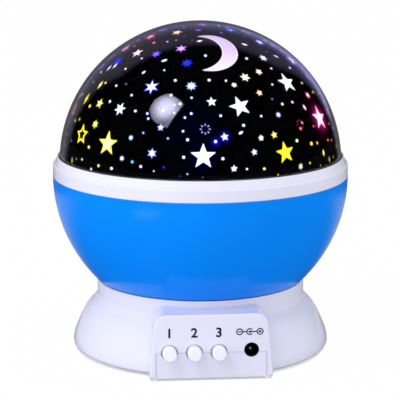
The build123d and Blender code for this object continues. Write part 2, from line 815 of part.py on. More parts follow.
# Gear motor, hung under the deck: can, ears, a bearing boss on top and a terminal block on its side.
motor_ear_z = motor_top_z - motor_ear_thickness
terminal_x = motor_radius + terminal_reach
terminal_z = motor_top_z - terminal_drop
with BuildPart() as gear_motor:
    with BuildSketch(Plane.XY.offset(motor_top_z - motor_height)):
        with Locations((0, -gear_distance)):
            Circle(motor_radius)
    extrude(amount=motor_height)
    fillet(gear_motor.edges().filter_by(GeomType.CIRCLE), radius=motor_edge_radius)
    with BuildSketch(Plane.XY.offset(motor_ear_z)):
        with Locations((0, -gear_distance)):
            Rectangle(2 * motor_ear_half_span, 2 * motor_ear_radius)
        with Locations(*motor_points):
            Circle(motor_ear_radius)
            Circle(small_screw[0] + running_gap, mode=Mode.SUBTRACT)
    extrude(amount=motor_ear_thickness)
    with BuildSketch(Plane.XY.offset(motor_top_z)):
        with Locations((0, -gear_distance)):
            Circle(motor_boss_radius)
    extrude(amount=motor_boss_height)
    with BuildSketch(Plane.XY.offset(motor_top_z + motor_boss_height)):
        with Locations((0, -gear_distance)):
            Circle(motor_shaft_radius + running_gap)
    extrude(amount=-(motor_boss_height + motor_bearing_depth), mode=Mode.SUBTRACT)
    with BuildSketch(Plane.XY.offset(terminal_z)):
        with Locations((terminal_x - terminal_depth / 2, -gear_distance)):
            Rectangle(terminal_depth, terminal_width)
    extrude(amount=terminal_height)
finish(gear_motor, "gear_motor")
screws(
    "motor_screws",
    facing_down(motor_ear_z),
    [(x, -y) for x, y in motor_points],
    small_screw,
    motor_screw_length,
)

shaft_foot_z = motor_top_z - motor_bearing_depth + 2 * running_gap
with BuildPart() as motor_shaft:
    with BuildSketch(Plane.XY.offset(shaft_foot_z)):
        with Locations((0, -gear_distance)):
            Circle(motor_shaft_radius)
    extrude(amount=gear_top_z + 2 * running_gap - shaft_foot_z)
finish(motor_shaft, "motor_shaft")

# The pinion has a gap, and the drive gear a tooth, on the line between their centres.
with BuildPart() as drive_pinion:
    with BuildSketch(Plane.XY.offset(gear_z)):
        with Locations((0, -gear_distance)):
            add(gear_face(pinion_teeth, 90 + 180 / pinion_teeth))
            Circle(motor_shaft_radius + running_gap / 2, mode=Mode.SUBTRACT)
    extrude(amount=gear_thickness)
finish(drive_pinion, "drive_pinion")

gear_screw_circle = (hub_radius + hub_bore_radius) / 2
gear_screw_points = [round_point(gear_screw_circle, angle) for angle in (30, 150, 270)]
gear_head_depth = small_screw[2] + 2 * running_gap
with BuildPart() as drive_gear:
    with BuildSketch(Plane.XY.offset(gear_z)):
        add(gear_face(gear_teeth, -90))
        Circle(hub_bore_radius, mode=Mode.SUBTRACT)
        with Locations(*gear_screw_points):
            Circle(small_screw[0] + running_gap, mode=Mode.SUBTRACT)
    extrude(amount=gear_thickness)
    with BuildSketch(Plane.XY.offset(gear_z)):
        with Locations(*gear_screw_points):
            Circle(small_screw[1] + seam_gap)
    extrude(amount=gear_head_depth, mode=Mode.SUBTRACT)
finish(drive_gear, "drive_gear")
screws(
    "gear_screws",
    facing_down(gear_z + gear_head_depth),
    [(x, -y) for x, y in gear_screw_points],
    small_screw,
    gear_screw_length,
)

# Hub bush in the deck, and the ring that the bowl glides on.
with BuildPart() as hub_bush:
    with BuildSketch(Plane.XY.offset(gear_top_z + glide_gap)):
        Circle(bush_radius)
    extrude(amount=glide_top_z - gear_top_z - glide_gap)
    with BuildSketch(Plane.XY.offset(deck_top_z)):
        Circle(bush_flange_radius)
    extrude(amount=glide_thickness)
    with BuildSketch(Plane.XY.offset(gear_top_z)):
        Circle(hub_radius + running_gap)
    extrude(amount=glide_top_z - gear_top_z, mode=Mode.SUBTRACT)
finish(hub_bush, "hub_bush")

bowl_floor_radius = ball_width(relief_radius, globe_z, bowl_floor_z)
glide_radius = bowl_floor_radius - glide_inset
with BuildPart() as glide_ring:
    with BuildSketch(Plane.XY.offset(deck_top_z)):
        Circle(glide_radius)
        Circle(glide_radius - glide_width, mode=Mode.SUBTRACT)
    extrude(amount=glide_thickness)
finish(glide_ring, "glide_ring")

# ---- Lamp post ------------------------------------------------------------------------------------

post_neck_z = lamp_board_z - post_head_thickness
post_flange_z = post_foot_z + post_flange_thickness
board_screw_points = [(-lamp_circle, 0), (lamp_circle, 0)]
with BuildPart() as lamp_post:
    with BuildSketch(Plane.XZ):
        with BuildLine():
            Polyline(
                (post_bore_radius, post_foot_z),
                (post_flange_radius, post_foot_z),
                (post_flange_radius, post_flange_z),
                (post_foot_radius, post_flange_z),
                (post_top_radius, post_neck_z - (post_head_radius - post_top_radius)),
                (post_head_radius, post_neck_z),
                (post_head_radius, lamp_board_z),
                (post_bore_radius, lamp_board_z),
                close=True,
            )
        make_face()
    revolve(axis=Axis.Z)
    with BuildSketch(Plane.XY.offset(post_foot_z)):
        with Locations((post_flange_radius, 0)):
            Rectangle(2 * post_flange_radius, post_slot_width)
    extrude(amount=post_slot_height, mode=Mode.SUBTRACT)
    with BuildSketch(Plane.XY.offset(post_foot_z)):
        with Locations(*post_screw_points):
            Circle(small_screw[0] + running_gap)
    extrude(amount=post_flange_thickness, mode=Mode.SUBTRACT)
    with BuildSketch(Plane.XY.offset(lamp_board_z)):
        with Locations(*board_screw_points):
            Circle(small_screw[0] + running_gap)
    extrude(amount=-(lamp_board_screw_length - lamp_board_thickness + pilot_spare), mode=Mode.SUBTRACT)
finish(lamp_post, "lamp_post")
screws("post_screws", Plane.XY.offset(post_flange_z), post_screw_points, small_screw, post_screw_length)

with BuildPart() as lamp_board:
    with BuildSketch(Plane.XY.offset(lamp_board_z)):
        Circle(lamp_board_radius)
        with Locations(*board_screw_points):
            Circle(small_screw[0] + running_gap, mode=Mode.SUBTRACT)
    extrude(amount=lamp_board_thickness)
finish(lamp_board, "lamp_board")

lamp_z = lamp_board_z + lamp_board_thickness
lamp_screw_seat = Plane.XY.offset(lamp_z)
screws("lamp_board_screws", lamp_screw_seat, board_screw_points, small_screw, lamp_board_screw_length)

for name, angle in (("lamp_red", 45), ("lamp_green", 135), ("lamp_blue", 225), ("lamp_white", 315)):
    with BuildPart() as lamp:
        x, y = round_point(lamp_circle, angle)
        with BuildSketch(Plane.XY.offset(lamp_z)):
            with Locations((x, y)):
                Circle(lamp_rim_radius)
        extrude(amount=lamp_rim_thickness)
        with BuildSketch(Plane.XY.offset(lamp_z)):
            with Locations((x, y)):
                Circle(lamp_radius)
        extrude(amount=lamp_height)
        fillet(lamp.faces().sort_by(Axis.Z)[-1].edges(), radius=lamp_radius - running_gap)
    finish(lamp, name)

# ---- Globe ----------------------------------------------------------------------------------------

# Bowl: a ball's lower half, flat underneath, with a hub that runs through the deck.
with BuildPart() as bowl:
    floor_top_z = bowl_floor_z + bowl_floor
    with BuildSketch(Plane.XZ):
        with BuildLine():
            Polyline(
                (hub_bore_radius, gear_top_z),
                (hub_radius, gear_top_z),
                (hub_radius, bowl_floor_z),
                (bowl_floor_radius, bowl_floor_z),
            )
            ball_arc(relief_radius, globe_z, bowl_floor_z, relief_z)
            Line(
                (ball_width(relief_radius, globe_z, relief_z), relief_z),
                (ball_width(globe_radius, globe_z, relief_z), relief_z),
            )
            ball_arc(globe_radius, globe_z, relief_z, globe_z)
            Line((globe_radius, globe_z), (inner_radius, globe_z))
            ball_arc(inner_radius, globe_z, globe_z, floor_top_z)
            Polyline(
                (ball_width(inner_radius, globe_z, floor_top_z), floor_top_z),
                (hub_bore_radius, floor_top_z),
                (hub_bore_radius, gear_top_z),
            )
        make_face()
    revolve(axis=Axis.Z)
    with BuildSketch(Plane.XY.offset(gear_top_z)):
        with Locations(*gear_screw_points):
            Circle(small_screw[0] + running_gap)
    extrude(amount=gear_screw_length - gear_thickness + gear_head_depth + pilot_spare, mode=Mode.SUBTRACT)
finish(bowl, "bowl")

# Trim ring: two tiers outside, a ledge for the deck and the dome, a spigot in the bowl, four bosses.
spigot_radius = ball_width(inner_radius, globe_z, globe_z - ring_spigot_depth) - 2 * running_gap
ring_step_z = globe_z + ring_lower_height
deck_screw_angles = [45 + 360 / deck_screw_count * number for number in range(deck_screw_count)]
deck_screw_points = [round_point(deck_screw_circle, angle) for angle in deck_screw_angles]
with BuildPart() as trim_ring:
    with BuildSketch(Plane.XZ):
        with BuildLine():
            Polyline(
                (spigot_radius - ring_spigot_wall, globe_z - ring_spigot_depth),
                (spigot_radius, globe_z - ring_spigot_depth),
                (spigot_radius, globe_z),
                (ring_radius - ring_chamfer, globe_z),
                (ring_radius, globe_z + ring_chamfer),
                (ring_radius, ring_step_z - ring_edge_radius),
            )
            TangentArc(
                (ring_radius, ring_step_z - ring_edge_radius),
                (ring_radius - ring_edge_radius, ring_step_z),
                tangent=(0, 1),
            )
            Polyline(
                (ring_radius - ring_edge_radius, ring_step_z),
                (ring_radius - ring_step, ring_step_z),
                (ring_bore_radius + ring_lip_width, ring_top_z - ring_lip_outer_fall),
            )
            ThreePointArc(
                (ring_bore_radius + ring_lip_width, ring_top_z - ring_lip_outer_fall),
                (ring_bore_radius + ring_lip_crest, ring_top_z),
                (ring_bore_radius, ring_top_z - ring_lip_inner_fall),
            )
            Polyline(
                (ring_bore_radius, ring_top_z - ring_lip_inner_fall),
                (ring_bore_radius, ledge_z),
                (ring_bore_radius - ring_ledge_width, ledge_z),
                (ring_bore_radius - ring_ledge_width, ledge_z - ring_ledge_thickness),
                (spigot_radius - ring_spigot_wall, ledge_z - ring_ledge_thickness),
                (spigot_radius - ring_spigot_wall, globe_z - ring_spigot_depth),
            )
        make_face()
    revolve(axis=Axis.Z)
    with BuildSketch(Plane.XY.offset(ledge_z)):
        with Locations(*deck_screw_points):
            Circle(ring_boss_radius)
    extrude(amount=-(ring_ledge_thickness + ring_boss_length))
    with BuildSketch(Plane.XY.offset(ledge_z)):
        with Locations(*deck_screw_points):
            Circle(small_screw[0] + running_gap)
    extrude(amount=-(deck_screw_length - deck_plate_thickness + pilot_spare), mode=Mode.SUBTRACT)
finish(trim_ring, "trim_ring")

# Reflector deck: the white plate over the bowl, with the lamp post through its middle.
with BuildPart() as reflector_deck:
    with BuildSketch(Plane.XY.offset(ledge_z)):
        Circle(deck_plate_radius)
        Circle(post_head_radius + 2 * free_gap, mode=Mode.SUBTRACT)
        with Locations(*deck_screw_points):
            Circle(small_screw[0] + running_gap, mode=Mode.SUBTRACT)
    extrude(amount=deck_plate_thickness)
finish(reflector_deck, "reflector_deck")
screws("deck_screws", Plane.XY.offset(deck_plate_top_z), deck_screw_points, small_screw, deck_screw_length)

# ---- Dome -----------------------------------------------------------------------------------------

def dome_skin(name, outer_radius, thickness, foot_z):
    """Half a ball on a short upright rim."""
    inner = outer_radius - thickness
    half = sqrt(0.5)
    with BuildPart() as skin:
        with BuildSketch(Plane.XZ):
            with BuildLine():
                Polyline((inner, dome_z), (inner, foot_z), (outer_radius, foot_z), (outer_radius, dome_z))
                ThreePointArc(
                    (outer_radius, dome_z),
                    (half * outer_radius, dome_z + half * outer_radius),
                    (0, dome_z + outer_radius),
                )
                Line((0, dome_z + outer_radius), (0, dome_z + inner))
                ThreePointArc((0, dome_z + inner), (half * inner, dome_z + half * inner), (inner, dome_z))
            make_face()
        revolve(axis=Axis.Z)
    finish(skin, name)


film_radius = dome_radius - dome_wall - film_gap
dome_skin("dome_shell", dome_radius, dome_wall, ledge_z + running_gap)
dome_skin("star_film", film_radius, film_thickness, ledge_z + 2 * running_gap)

# ---- Inner leads ----------------------------------------------------------------------------------

board_back_y = board_y + board_thickness
box_front_y = cell_row_y - box_half_width - box_wall
lead(
    "battery_leads",
    [
        (battery_lead_box_x, box_front_y, battery_lead_z),
        (battery_lead_box_x, box_front_y - battery_lead_runs[0], battery_lead_z),
        (battery_lead_board_x, board_back_y + battery_lead_runs[1], battery_lead_z),
        (battery_lead_board_x, board_back_y, battery_lead_z),
    ],
    battery_lead_bends,
)
motor_lead_z = terminal_z + terminal_height / 2
lead(
    "motor_leads",
    [
        (terminal_x, -gear_distance, motor_lead_z),
        (motor_lead_x, -gear_distance, motor_lead_z),
        (motor_lead_x, board_back_y, motor_lead_z),
    ],
    motor_lead_bends,
)
lamp_lead_z = post_foot_z + lead_radius + lead_gap
lead(
    "lamp_leads",
    [
        (lamp_lead_x, board_back_y, lamp_lead_z),
        (lamp_lead_x, motor_radius - gear_distance, lamp_lead_z),
        (lamp_lead_entry_x, 0, lamp_lead_z),
        (0, 0, lamp_lead_z),
        (0, 0, lamp_board_z),
    ],
    lamp_lead_bends,
)
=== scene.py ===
import json
import math
import random
from collections import namedtuple

import bmesh
import bpy
from mathutils import Matrix, Vector

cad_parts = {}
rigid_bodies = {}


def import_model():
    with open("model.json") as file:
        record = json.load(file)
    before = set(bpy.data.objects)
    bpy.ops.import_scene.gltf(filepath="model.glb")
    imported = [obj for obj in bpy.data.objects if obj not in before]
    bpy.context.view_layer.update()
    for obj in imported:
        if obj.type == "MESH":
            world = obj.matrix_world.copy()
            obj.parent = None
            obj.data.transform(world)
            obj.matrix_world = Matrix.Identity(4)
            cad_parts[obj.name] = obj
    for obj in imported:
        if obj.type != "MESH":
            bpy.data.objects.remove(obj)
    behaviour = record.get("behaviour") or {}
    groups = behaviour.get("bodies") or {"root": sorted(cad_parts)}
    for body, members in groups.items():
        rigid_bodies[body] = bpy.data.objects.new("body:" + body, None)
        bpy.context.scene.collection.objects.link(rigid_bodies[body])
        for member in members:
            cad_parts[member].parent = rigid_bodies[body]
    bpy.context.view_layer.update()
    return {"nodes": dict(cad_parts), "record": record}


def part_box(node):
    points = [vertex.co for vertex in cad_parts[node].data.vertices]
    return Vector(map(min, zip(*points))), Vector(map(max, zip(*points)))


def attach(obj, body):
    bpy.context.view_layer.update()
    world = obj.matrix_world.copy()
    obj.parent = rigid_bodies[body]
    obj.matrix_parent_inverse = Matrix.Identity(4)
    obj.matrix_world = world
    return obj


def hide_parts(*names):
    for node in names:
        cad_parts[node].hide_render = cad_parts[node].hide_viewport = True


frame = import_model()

# Looks of a star night light: a glossy dome with lit windows in a black print, a white ring, a blue bowl
# and a white base with three buttons. Metres, in the frame of the solids.

MM = 0.001
nodes = frame["nodes"]
scene = bpy.context.scene
no_light = (0.0, 0.0, 0.0, 1.0)
full_light = (1.0, 1.0, 1.0, 1.0)


def set_out(name, data):
    """A new object in the scene."""
    made = bpy.data.objects.new(name, data)
    scene.collection.objects.link(made)
    return made


def finished_mesh(name, shape):
    """The mesh of a shape that is done."""
    mesh = bpy.data.meshes.new(name)
    shape.to_mesh(mesh)
    shape.free()
    return mesh


def final_mesh(piece):
    """A piece's mesh after its modifiers."""
    return bpy.data.meshes.new_from_object(piece.evaluated_get(bpy.context.evaluated_depsgraph_get()))


# ---- Sizes read from the solids ----

film_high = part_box("star_film")[1]
film_radius = film_high.x
film_thickness = 0.5 * MM
shell_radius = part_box("dome_shell")[1].x
shell_wall = 1.5 * MM
shell_index = 1.49
dome_centre = Vector((0.0, 0.0, film_high.z - film_radius))
panel_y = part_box("base_shell")[0].y
button_boxes = [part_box(f"button_{n}") for n in (1, 2, 3)]
inlet_low, inlet_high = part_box("power_inlet")

# ---- Camera ----

camera_distance = 0.780
camera_azimuth = math.radians(-4.7)
camera_elevation = math.radians(11.99)
camera_aim = Vector((-0.00018, 0.0, 0.0651))
camera_lens = 158.3
camera_sensor = 36.0
picture_width = 400

camera_back = Vector((
    math.sin(camera_azimuth) * math.cos(camera_elevation),
    -math.cos(camera_azimuth) * math.cos(camera_elevation),
    math.sin(camera_elevation),
))
camera_place = camera_aim + camera_back * camera_distance
camera_turn = (-camera_back).to_track_quat("-Z", "Y")

camera_data = bpy.data.cameras.new("camera")
camera_data.lens = camera_lens
camera_data.sensor_width = camera_sensor
camera_data.clip_start = 0.01
camera_data.clip_end = 20.0
camera = set_out("camera", camera_data)
camera.location = camera_place
camera.rotation_mode = "QUATERNION"
camera.rotation_quaternion = camera_turn
scene.camera = camera


def way_out(across, down):
    """The direction in which the camera sees a place in its picture, in pixels."""
    focal = camera_lens / camera_sensor * picture_width
    return (camera_turn @ Vector((across - picture_width / 2, picture_width / 2 - down, -focal))).normalized()


def met_on_dome(start, way, radius):
    """The point where a ray meets a ball about the dome's centre."""
    along = way.dot(start - dome_centre)
    depth = along ** 2 - (start - dome_centre).length_squared + radius ** 2
    return start + way * (-along - math.sqrt(max(depth, 0.0)))


def bent(way, out, ratio):
    """A ray bent where it crosses a surface, by the ratio of the two refractive indices."""
    cosine = -way.dot(out)
    rest = 1 - ratio ** 2 * (1 - cosine ** 2)
    return (way * ratio + out * (ratio * cosine - math.sqrt(max(rest, 0.0)))).normalized()


def seen_on_film(across, down):
    """The point of the film that the camera sees through the clear shell at a place in its picture."""
    way = way_out(across, down)
    spot = met_on_dome(camera_place, way, shell_radius)
    way = bent(way, (spot - dome_centre).normalized(), 1 / shell_index)
    spot = met_on_dome(spot, way, shell_radius - shell_wall)
    way = bent(way, (spot - dome_centre).normalized(), shell_index)
    return met_on_dome(spot, way, film_radius)


# ---- Node helpers ----

def put(tree, kind, values=None, **settings):
    """Add a node, set its properties, fill or link its inputs, and give its outputs."""
    made = tree.nodes.new(kind)
    for name, value in settings.items():
        setattr(made, name, value)
    for socket, value in (values or {}).items():
        target = made.inputs[socket]
        if isinstance(value, bpy.types.NodeSocket):
            tree.links.new(value, target)
        else:
            target.default_value = value
    return made.outputs


def number(tree, operation, *values, clamp=False):
    """A maths node's result."""
    return put(tree, "ShaderNodeMath", dict(enumerate(values)), operation=operation, use_clamp=clamp)[0]


def vector(tree, operation, *values, result="Vector"):
    """A vector maths node's result."""
    return put(tree, "ShaderNodeVectorMath", dict(enumerate(values)), operation=operation)[result]


def blend_colour(tree, share, first, second, blend_type="MIX"):
    """Two colours mixed by a share."""
    values = {0: share, 6: first, 7: second}
    return put(tree, "ShaderNodeMix", values, data_type="RGBA", blend_type=blend_type)[2]


def step_up(tree, value, low, high, low_result=0.0, high_result=1.0):
    """A smooth step between two levels."""
    values = {"Value": value, "From Min": low, "From Max": high, "To Min": low_result, "To Max": high_result}
    return put(tree, "ShaderNodeMapRange", values, interpolation_type="SMOOTHSTEP")[0]


def empty_tree(owner):
    """The node tree of a material or world, emptied."""
    owner.use_nodes = True
    owner.node_tree.nodes.clear()
    return owner.node_tree


def new_group(name, tree_kind, inputs, outputs):
    """An empty node group with named sockets: its tree, its input sockets and its output node."""
    tree = bpy.data.node_groups.new(name, tree_kind)
    for socket, kind, value in inputs:
        made = tree.interface.new_socket(socket, in_out="INPUT", socket_type=kind)
        if value is not None:
            made.default_value = value
    for socket, kind in outputs:
        tree.interface.new_socket(socket, in_out="OUTPUT", socket_type=kind)
    return tree, tree.nodes.new("NodeGroupInput").outputs, tree.nodes.new("NodeGroupOutput")


# ---- Shared surface effects ----

def make_moulded_skin():
    """Moulded plastic: a slow drift of tone and gloss, and a fine grain."""
    tree, given, out = new_group(
        "moulded_skin", "ShaderNodeTree",
        [("Wave Size", "NodeSocketFloat", 0.02), ("Grain Size", "NodeSocketFloat", 0.0006)],
        [("Tone", "NodeSocketFloat"), ("Gloss", "NodeSocketFloat"), ("Height", "NodeSocketFloat")],
    )
    drift_scale, noise_low, noise_high = 0.35, 0.3, 0.7
    place = put(tree, "ShaderNodeTexCoord")["Object"]
    wave_place = vector(tree, "DIVIDE", place, given["Wave Size"])
    grain_place = vector(tree, "DIVIDE", place, given["Grain Size"])
    wave = put(tree, "ShaderNodeTexNoise", {"Vector": wave_place, "Scale": 1.0, "Detail": 2.0})[0]
    drift = put(tree, "ShaderNodeTexNoise", {"Vector": wave_place, "Scale": drift_scale, "Detail": 1.0})[0]
    grain = put(tree, "ShaderNodeTexNoise", {"Vector": grain_place, "Scale": 1.0, "Detail": 1.0})[0]
    tree.links.new(step_up(tree, drift, noise_low, noise_high), out.inputs["Tone"])
    tree.links.new(step_up(tree, wave, noise_low, noise_high), out.inputs["Gloss"])
    tree.links.new(grain, out.inputs["Height"])
    return tree


def make_spot_glow():
    """A soft round mask about a place, for painted glows and painted highlights: 1 in its middle, 0 at its reach."""
    tree, given, out = new_group(
        "spot_glow", "ShaderNodeTree",
        [("Place", "NodeSocketVector", None), ("Reach", "NodeSocketFloat", 0.005)],
        [("Glow", "NodeSocketFloat")],
    )
    place = put(tree, "ShaderNodeTexCoord")["Object"]
    away = vector(tree, "DISTANCE", place, given["Place"], result="Value")
    near = number(tree, "SUBTRACT", 1.0, number(tree, "DIVIDE", away, given["Reach"]), clamp=True)
    falloff = 2.2
    tree.links.new(number(tree, "POWER", near, falloff), out.inputs["Glow"])
    return tree


moulded_skin = make_moulded_skin()
spot_glow = make_spot_glow()


# ---- Materials ----

def start_material(name, **plain):
    """A material with a Principled shader; plain values are set on its own sockets."""
    material = bpy.data.materials.new(name)
    material.use_nodes = True
    tree = material.node_tree
    shader = tree.nodes["Principled BSDF"]
    for socket, value in plain.items():
        shader.inputs[socket.replace("_", " ")].default_value = value
    return material, tree, shader


def use_group(tree, group, **values):
    """Place a shared group with its own values."""
    filled = {socket.replace("_", " "): value for socket, value in values.items()}
    return put(tree, "ShaderNodeGroup", filled, node_tree=group)


def shade(colour, share):
    """A colour made darker by a share."""
    return (*(channel * share for channel in colour[:3]), 1.0)


def moulded(name, colour, roughness, wave=0.02, grain=0.0006, depth=0.000004, tone=0.97, spread=0.04, **plain):
    """A moulded or coated surface with the skin's drift, gloss and grain."""
    material, tree, shader = start_material(name, Roughness=roughness, **plain)
    skin = use_group(tree, moulded_skin, Wave_Size=wave, Grain_Size=grain)
    light = (*colour, 1.0)
    tree.links.new(blend_colour(tree, skin["Tone"], light, shade(colour, tone)), shader.inputs["Base Color"])
    if spread:
        gloss = step_up(tree, skin["Gloss"], 0.0, 1.0, roughness, roughness + spread)
        tree.links.new(gloss, shader.inputs["Roughness"])
    if depth:
        bump = put(tree, "ShaderNodeBump", {"Height": skin["Height"], "Distance": depth, "Strength": 1.0})
        tree.links.new(bump[0], shader.inputs["Normal"])
    return material


def black_print():
    """The film's print: near black, with a painted glow round the brightest windows, an emission standing in for the
    lamps' light.
    """
    thin_ink = (0.0030, 0.0030, 0.0040, 1.0)
    full_ink = (0.0018, 0.0018, 0.0024, 1.0)
    smoothest, dullest = 0.03, 0.05
    plain = {"Emission_Strength": 1.0, "Specular_IOR_Level": 1.0, "IOR": 2.2}
    material, tree, shader = start_material("black_print_lit", **plain)
    skin = use_group(tree, moulded_skin, Wave_Size=0.03, Grain_Size=0.0004)
    tree.links.new(blend_colour(tree, skin["Tone"], thin_ink, full_ink), shader.inputs["Base Color"])
    tree.links.new(step_up(tree, skin["Gloss"], 0.0, 1.0, smoothest, dullest), shader.inputs["Roughness"])
    # the painted glow: emission added up round each place
    total = no_light
    for across, down, reach, colour in painted_film_glows:
        spot = seen_on_film(across, down)
        glow = use_group(tree, spot_glow, Place=spot, Reach=reach)[0]
        lit = blend_colour(tree, glow, no_light, (*colour, 1.0))
        total = blend_colour(tree, 1.0, total, lit, blend_type="ADD")
    tree.links.new(total, shader.inputs["Emission Color"])
    return material


def lit_window():
    """A clear window whose lamp light from behind is painted glow: an emission in its core's colour inside and its
    rim's colour at the outline.
    """
    material, tree, shader = start_material("lit_window", Emission_Strength=1.12, Roughness=0.3)
    core, edge = (put(tree, "ShaderNodeAttribute", attribute_name=name)["Color"] for name in ("core", "edge"))
    rim = put(tree, "ShaderNodeAttribute", attribute_name="rim")["Fac"]
    edge_starts = 0.35
    colour = blend_colour(tree, step_up(tree, rim, edge_starts, 1.0), core, edge)
    tree.links.new(colour, shader.inputs["Emission Color"])
    tree.links.new(colour, shader.inputs["Base Color"])
    return material


def plug_pin():
    """The inlet's pin, dull in its socket, with a painted highlight on its tip: a small bright place in its base
    colour.
    """
    material, tree, shader = start_material("plug_pin", Roughness=0.3)
    low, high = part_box("inlet_pin")
    # the painted highlight: aside and up from the middle of the pin's tip, and its reach
    to_side, upward, reach = -0.85 * MM, 0.50 * MM, 1.0 * MM
    tip = Vector(((low.x + high.x) / 2 + to_side, low.y, (low.z + high.z) / 2 + upward))
    glow = use_group(tree, spot_glow, Place=tip, Reach=reach)[0]
    colour = blend_colour(tree, glow, (0.010, 0.010, 0.010, 1.0), (1.0, 0.97, 0.90, 1.0))
    tree.links.new(colour, shader.inputs["Base Color"])
    return material


# painted glows on the print: a glow's place in the picture, its reach in metres, its colour
painted_film_glows = [
    (203, 157, 0.0075, (0.000, 0.000, 0.110)),
    (225, 137, 0.0036, (0.012, 0.006, 0.900)),
    (216, 142, 0.0030, (0.012, 0.006, 0.900)),
    (320, 118, 0.0080, (1.000, 0.012, 0.260)),
    (320, 118, 0.0125, (0.080, 0.002, 0.024)),
    (190, 130, 0.0220, (0.000, 0.000, 0.005)),
]

materials = {
    "white_plastic": moulded("glossy_white", (0.80, 0.80, 0.895), 0.13, Specular_IOR_Level=0.2, Coat_Weight=0.15,
                             Coat_Roughness=0.04),
    "button_white": moulded("button_caps", (0.93, 0.93, 0.97), 0.26, wave=0.006, Specular_IOR_Level=0.3),
    "blue_plastic": moulded("glossy_azure", (0.0, 0.250, 0.92), 0.14, tone=0.96, Specular_IOR_Level=0.16),
    "black_plastic": moulded("inlet_black", (0.009, 0.006, 0.006), 0.34, wave=0.004, grain=0.0003),
    "rubber": moulded("foot_rubber", (0.022, 0.022, 0.024), 0.78, wave=0.003, grain=0.0003, depth=0.00006),
    "steel": moulded("zinc_steel", (0.56, 0.56, 0.58), 0.30, wave=0.002, grain=0.0003, Metallic=1.0),
    "spring_steel": moulded("nickel_strip", (0.66, 0.63, 0.56), 0.22, wave=0.003, grain=0.0003, Metallic=1.0),
    "circuit_board": moulded("green_board", (0.012, 0.11, 0.04), 0.42, wave=0.003, grain=0.0004),
    "lamp_board_white": moulded("white_board", (0.78, 0.78, 0.76), 0.40, wave=0.003, grain=0.0004),
    "cell_case": moulded("cell_sleeve", (0.07, 0.08, 0.09), 0.30, wave=0.006, grain=0.0004, Coat_Weight=0.3),
    "motor_case": moulded("motor_can", (0.50, 0.51, 0.53), 0.34, wave=0.004, grain=0.0003, Metallic=1.0),
    "nylon": moulded("acetal", (0.78, 0.77, 0.70), 0.48, wave=0.005, grain=0.0005),
    "lead_jacket": moulded("red_lead", (0.42, 0.012, 0.010), 0.45, wave=0.004, grain=0.0004),
    "clear_dome": moulded("clear_shell", (0.93, 0.93, 0.97), 0.0, wave=0.03, depth=0.0, tone=0.99,
                          spread=0.0, Transmission_Weight=1.0, IOR=shell_index, Specular_Tint=no_light),
    "black_print": black_print(),
}
for lamp, lens, light in (
    ("red", (0.75, 0.03, 0.02), (1.0, 0.05, 0.02)),
    ("green", (0.03, 0.60, 0.12), (0.05, 1.0, 0.15)),
    ("blue", (0.03, 0.10, 0.80), (0.05, 0.15, 1.0)),
    ("white", (0.85, 0.83, 0.72), (1.0, 0.95, 0.75)),
):
    materials[f"lamp_{lamp}"] = moulded(f"{lamp}_lens", lens, 0.12, wave=0.003, Coat_Weight=0.5,
                                        Emission_Color=(*light, 1.0), Emission_Strength=0.5)

for entry in frame["record"]["subparts"]:
    for slot in nodes[entry["node"]].material_slots:
        slot.material = materials[entry["material_slot"]]

nodes["inlet_pin"].material_slots[0].material = plug_pin()

# ---- The dome's shell and film ----


def turned_dome(name, node, radius, wall, slot):
    """Half a ball on a straight skirt, with an even wall, turned round the axis in place of a solid."""
    around, rise, sharp = 144, 48, math.radians(40)
    low_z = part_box(node)[0].z
    shape = bmesh.new()

    def circle(size, z):
        turns = [math.tau * step / around for step in range(around)]
        return [shape.verts.new((size * math.cos(turn), size * math.sin(turn), z)) for turn in turns]

    def wall_rows(size):
        heights = [math.pi / 2 * step / rise for step in range(rise)]
        arc = [circle(size * math.cos(height), dome_centre.z + size * math.sin(height)) for height in heights]
        return [circle(size, low_z), *arc]

    outside = wall_rows(radius)
    inside = wall_rows(radius - wall)
    rows = [*reversed(inside), *outside]
    ends = [shape.verts.new((0.0, 0.0, dome_centre.z + size)) for size in (radius - wall, radius)]
    for step in range(around):
        after = (step + 1) % around
        for below, above in zip(rows, rows[1:]):
            shape.faces.new((below[step], below[after], above[after], above[step]))
        shape.faces.new((rows[0][after], rows[0][step], ends[0]))
        shape.faces.new((rows[-1][step], rows[-1][after], ends[1]))
    mesh = finished_mesh(name, shape)
    mesh.shade_smooth()
    mesh.set_sharp_from_angle(angle=sharp)
    mesh.materials.append(materials[slot])
    piece = set_out(name, mesh)
    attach(piece, "dome")
    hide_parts(node)


turned_dome("clear_shell", "dome_shell", shell_radius, shell_wall, "clear_dome")
turned_dome("printed_film", "star_film", film_radius, film_thickness, "black_print")

# ---- Lit windows in the dome's print ----

# the colours of the windows' painted glow; the tint brighter than white, for windows near the dome's rim, is a painted
# highlight
tints = {
    "white": (1.0, 1.0, 1.0), "milk": (0.80, 0.84, 1.0), "pale": (0.55, 0.62, 1.0), "sky": (0.12, 0.45, 1.0),
    "blue": (0.012, 0.020, 0.82), "deep": (0.005, 0.01, 0.45), "ice": (0.25, 0.75, 1.0),
    "violet": (0.35, 0.12, 0.95), "lilac": (0.85, 0.60, 1.0), "mauve": (0.60, 0.46, 0.70),
    "pearl": (0.72, 0.68, 0.76), "painted_glint": (2.0, 1.9, 2.6), "pink": (1.0, 0.40, 0.80), "rose": (0.90, 0.04, 0.15),
    "orange": (1.0, 0.30, 0.05), "rust": (0.40, 0.14, 0.03), "wine": (0.15, 0.008, 0.05),
    "gold": (0.75, 0.55, 0.03), "yellow": (1.0, 0.86, 0.02), "lemon": (1.0, 0.98, 0.45),
    "olive": (0.22, 0.20, 0.01), "grey": (0.16, 0.16, 0.22), "dusk": (0.05, 0.04, 0.22),
}

Window = namedtuple("Window", "shape across down size turn core edge")
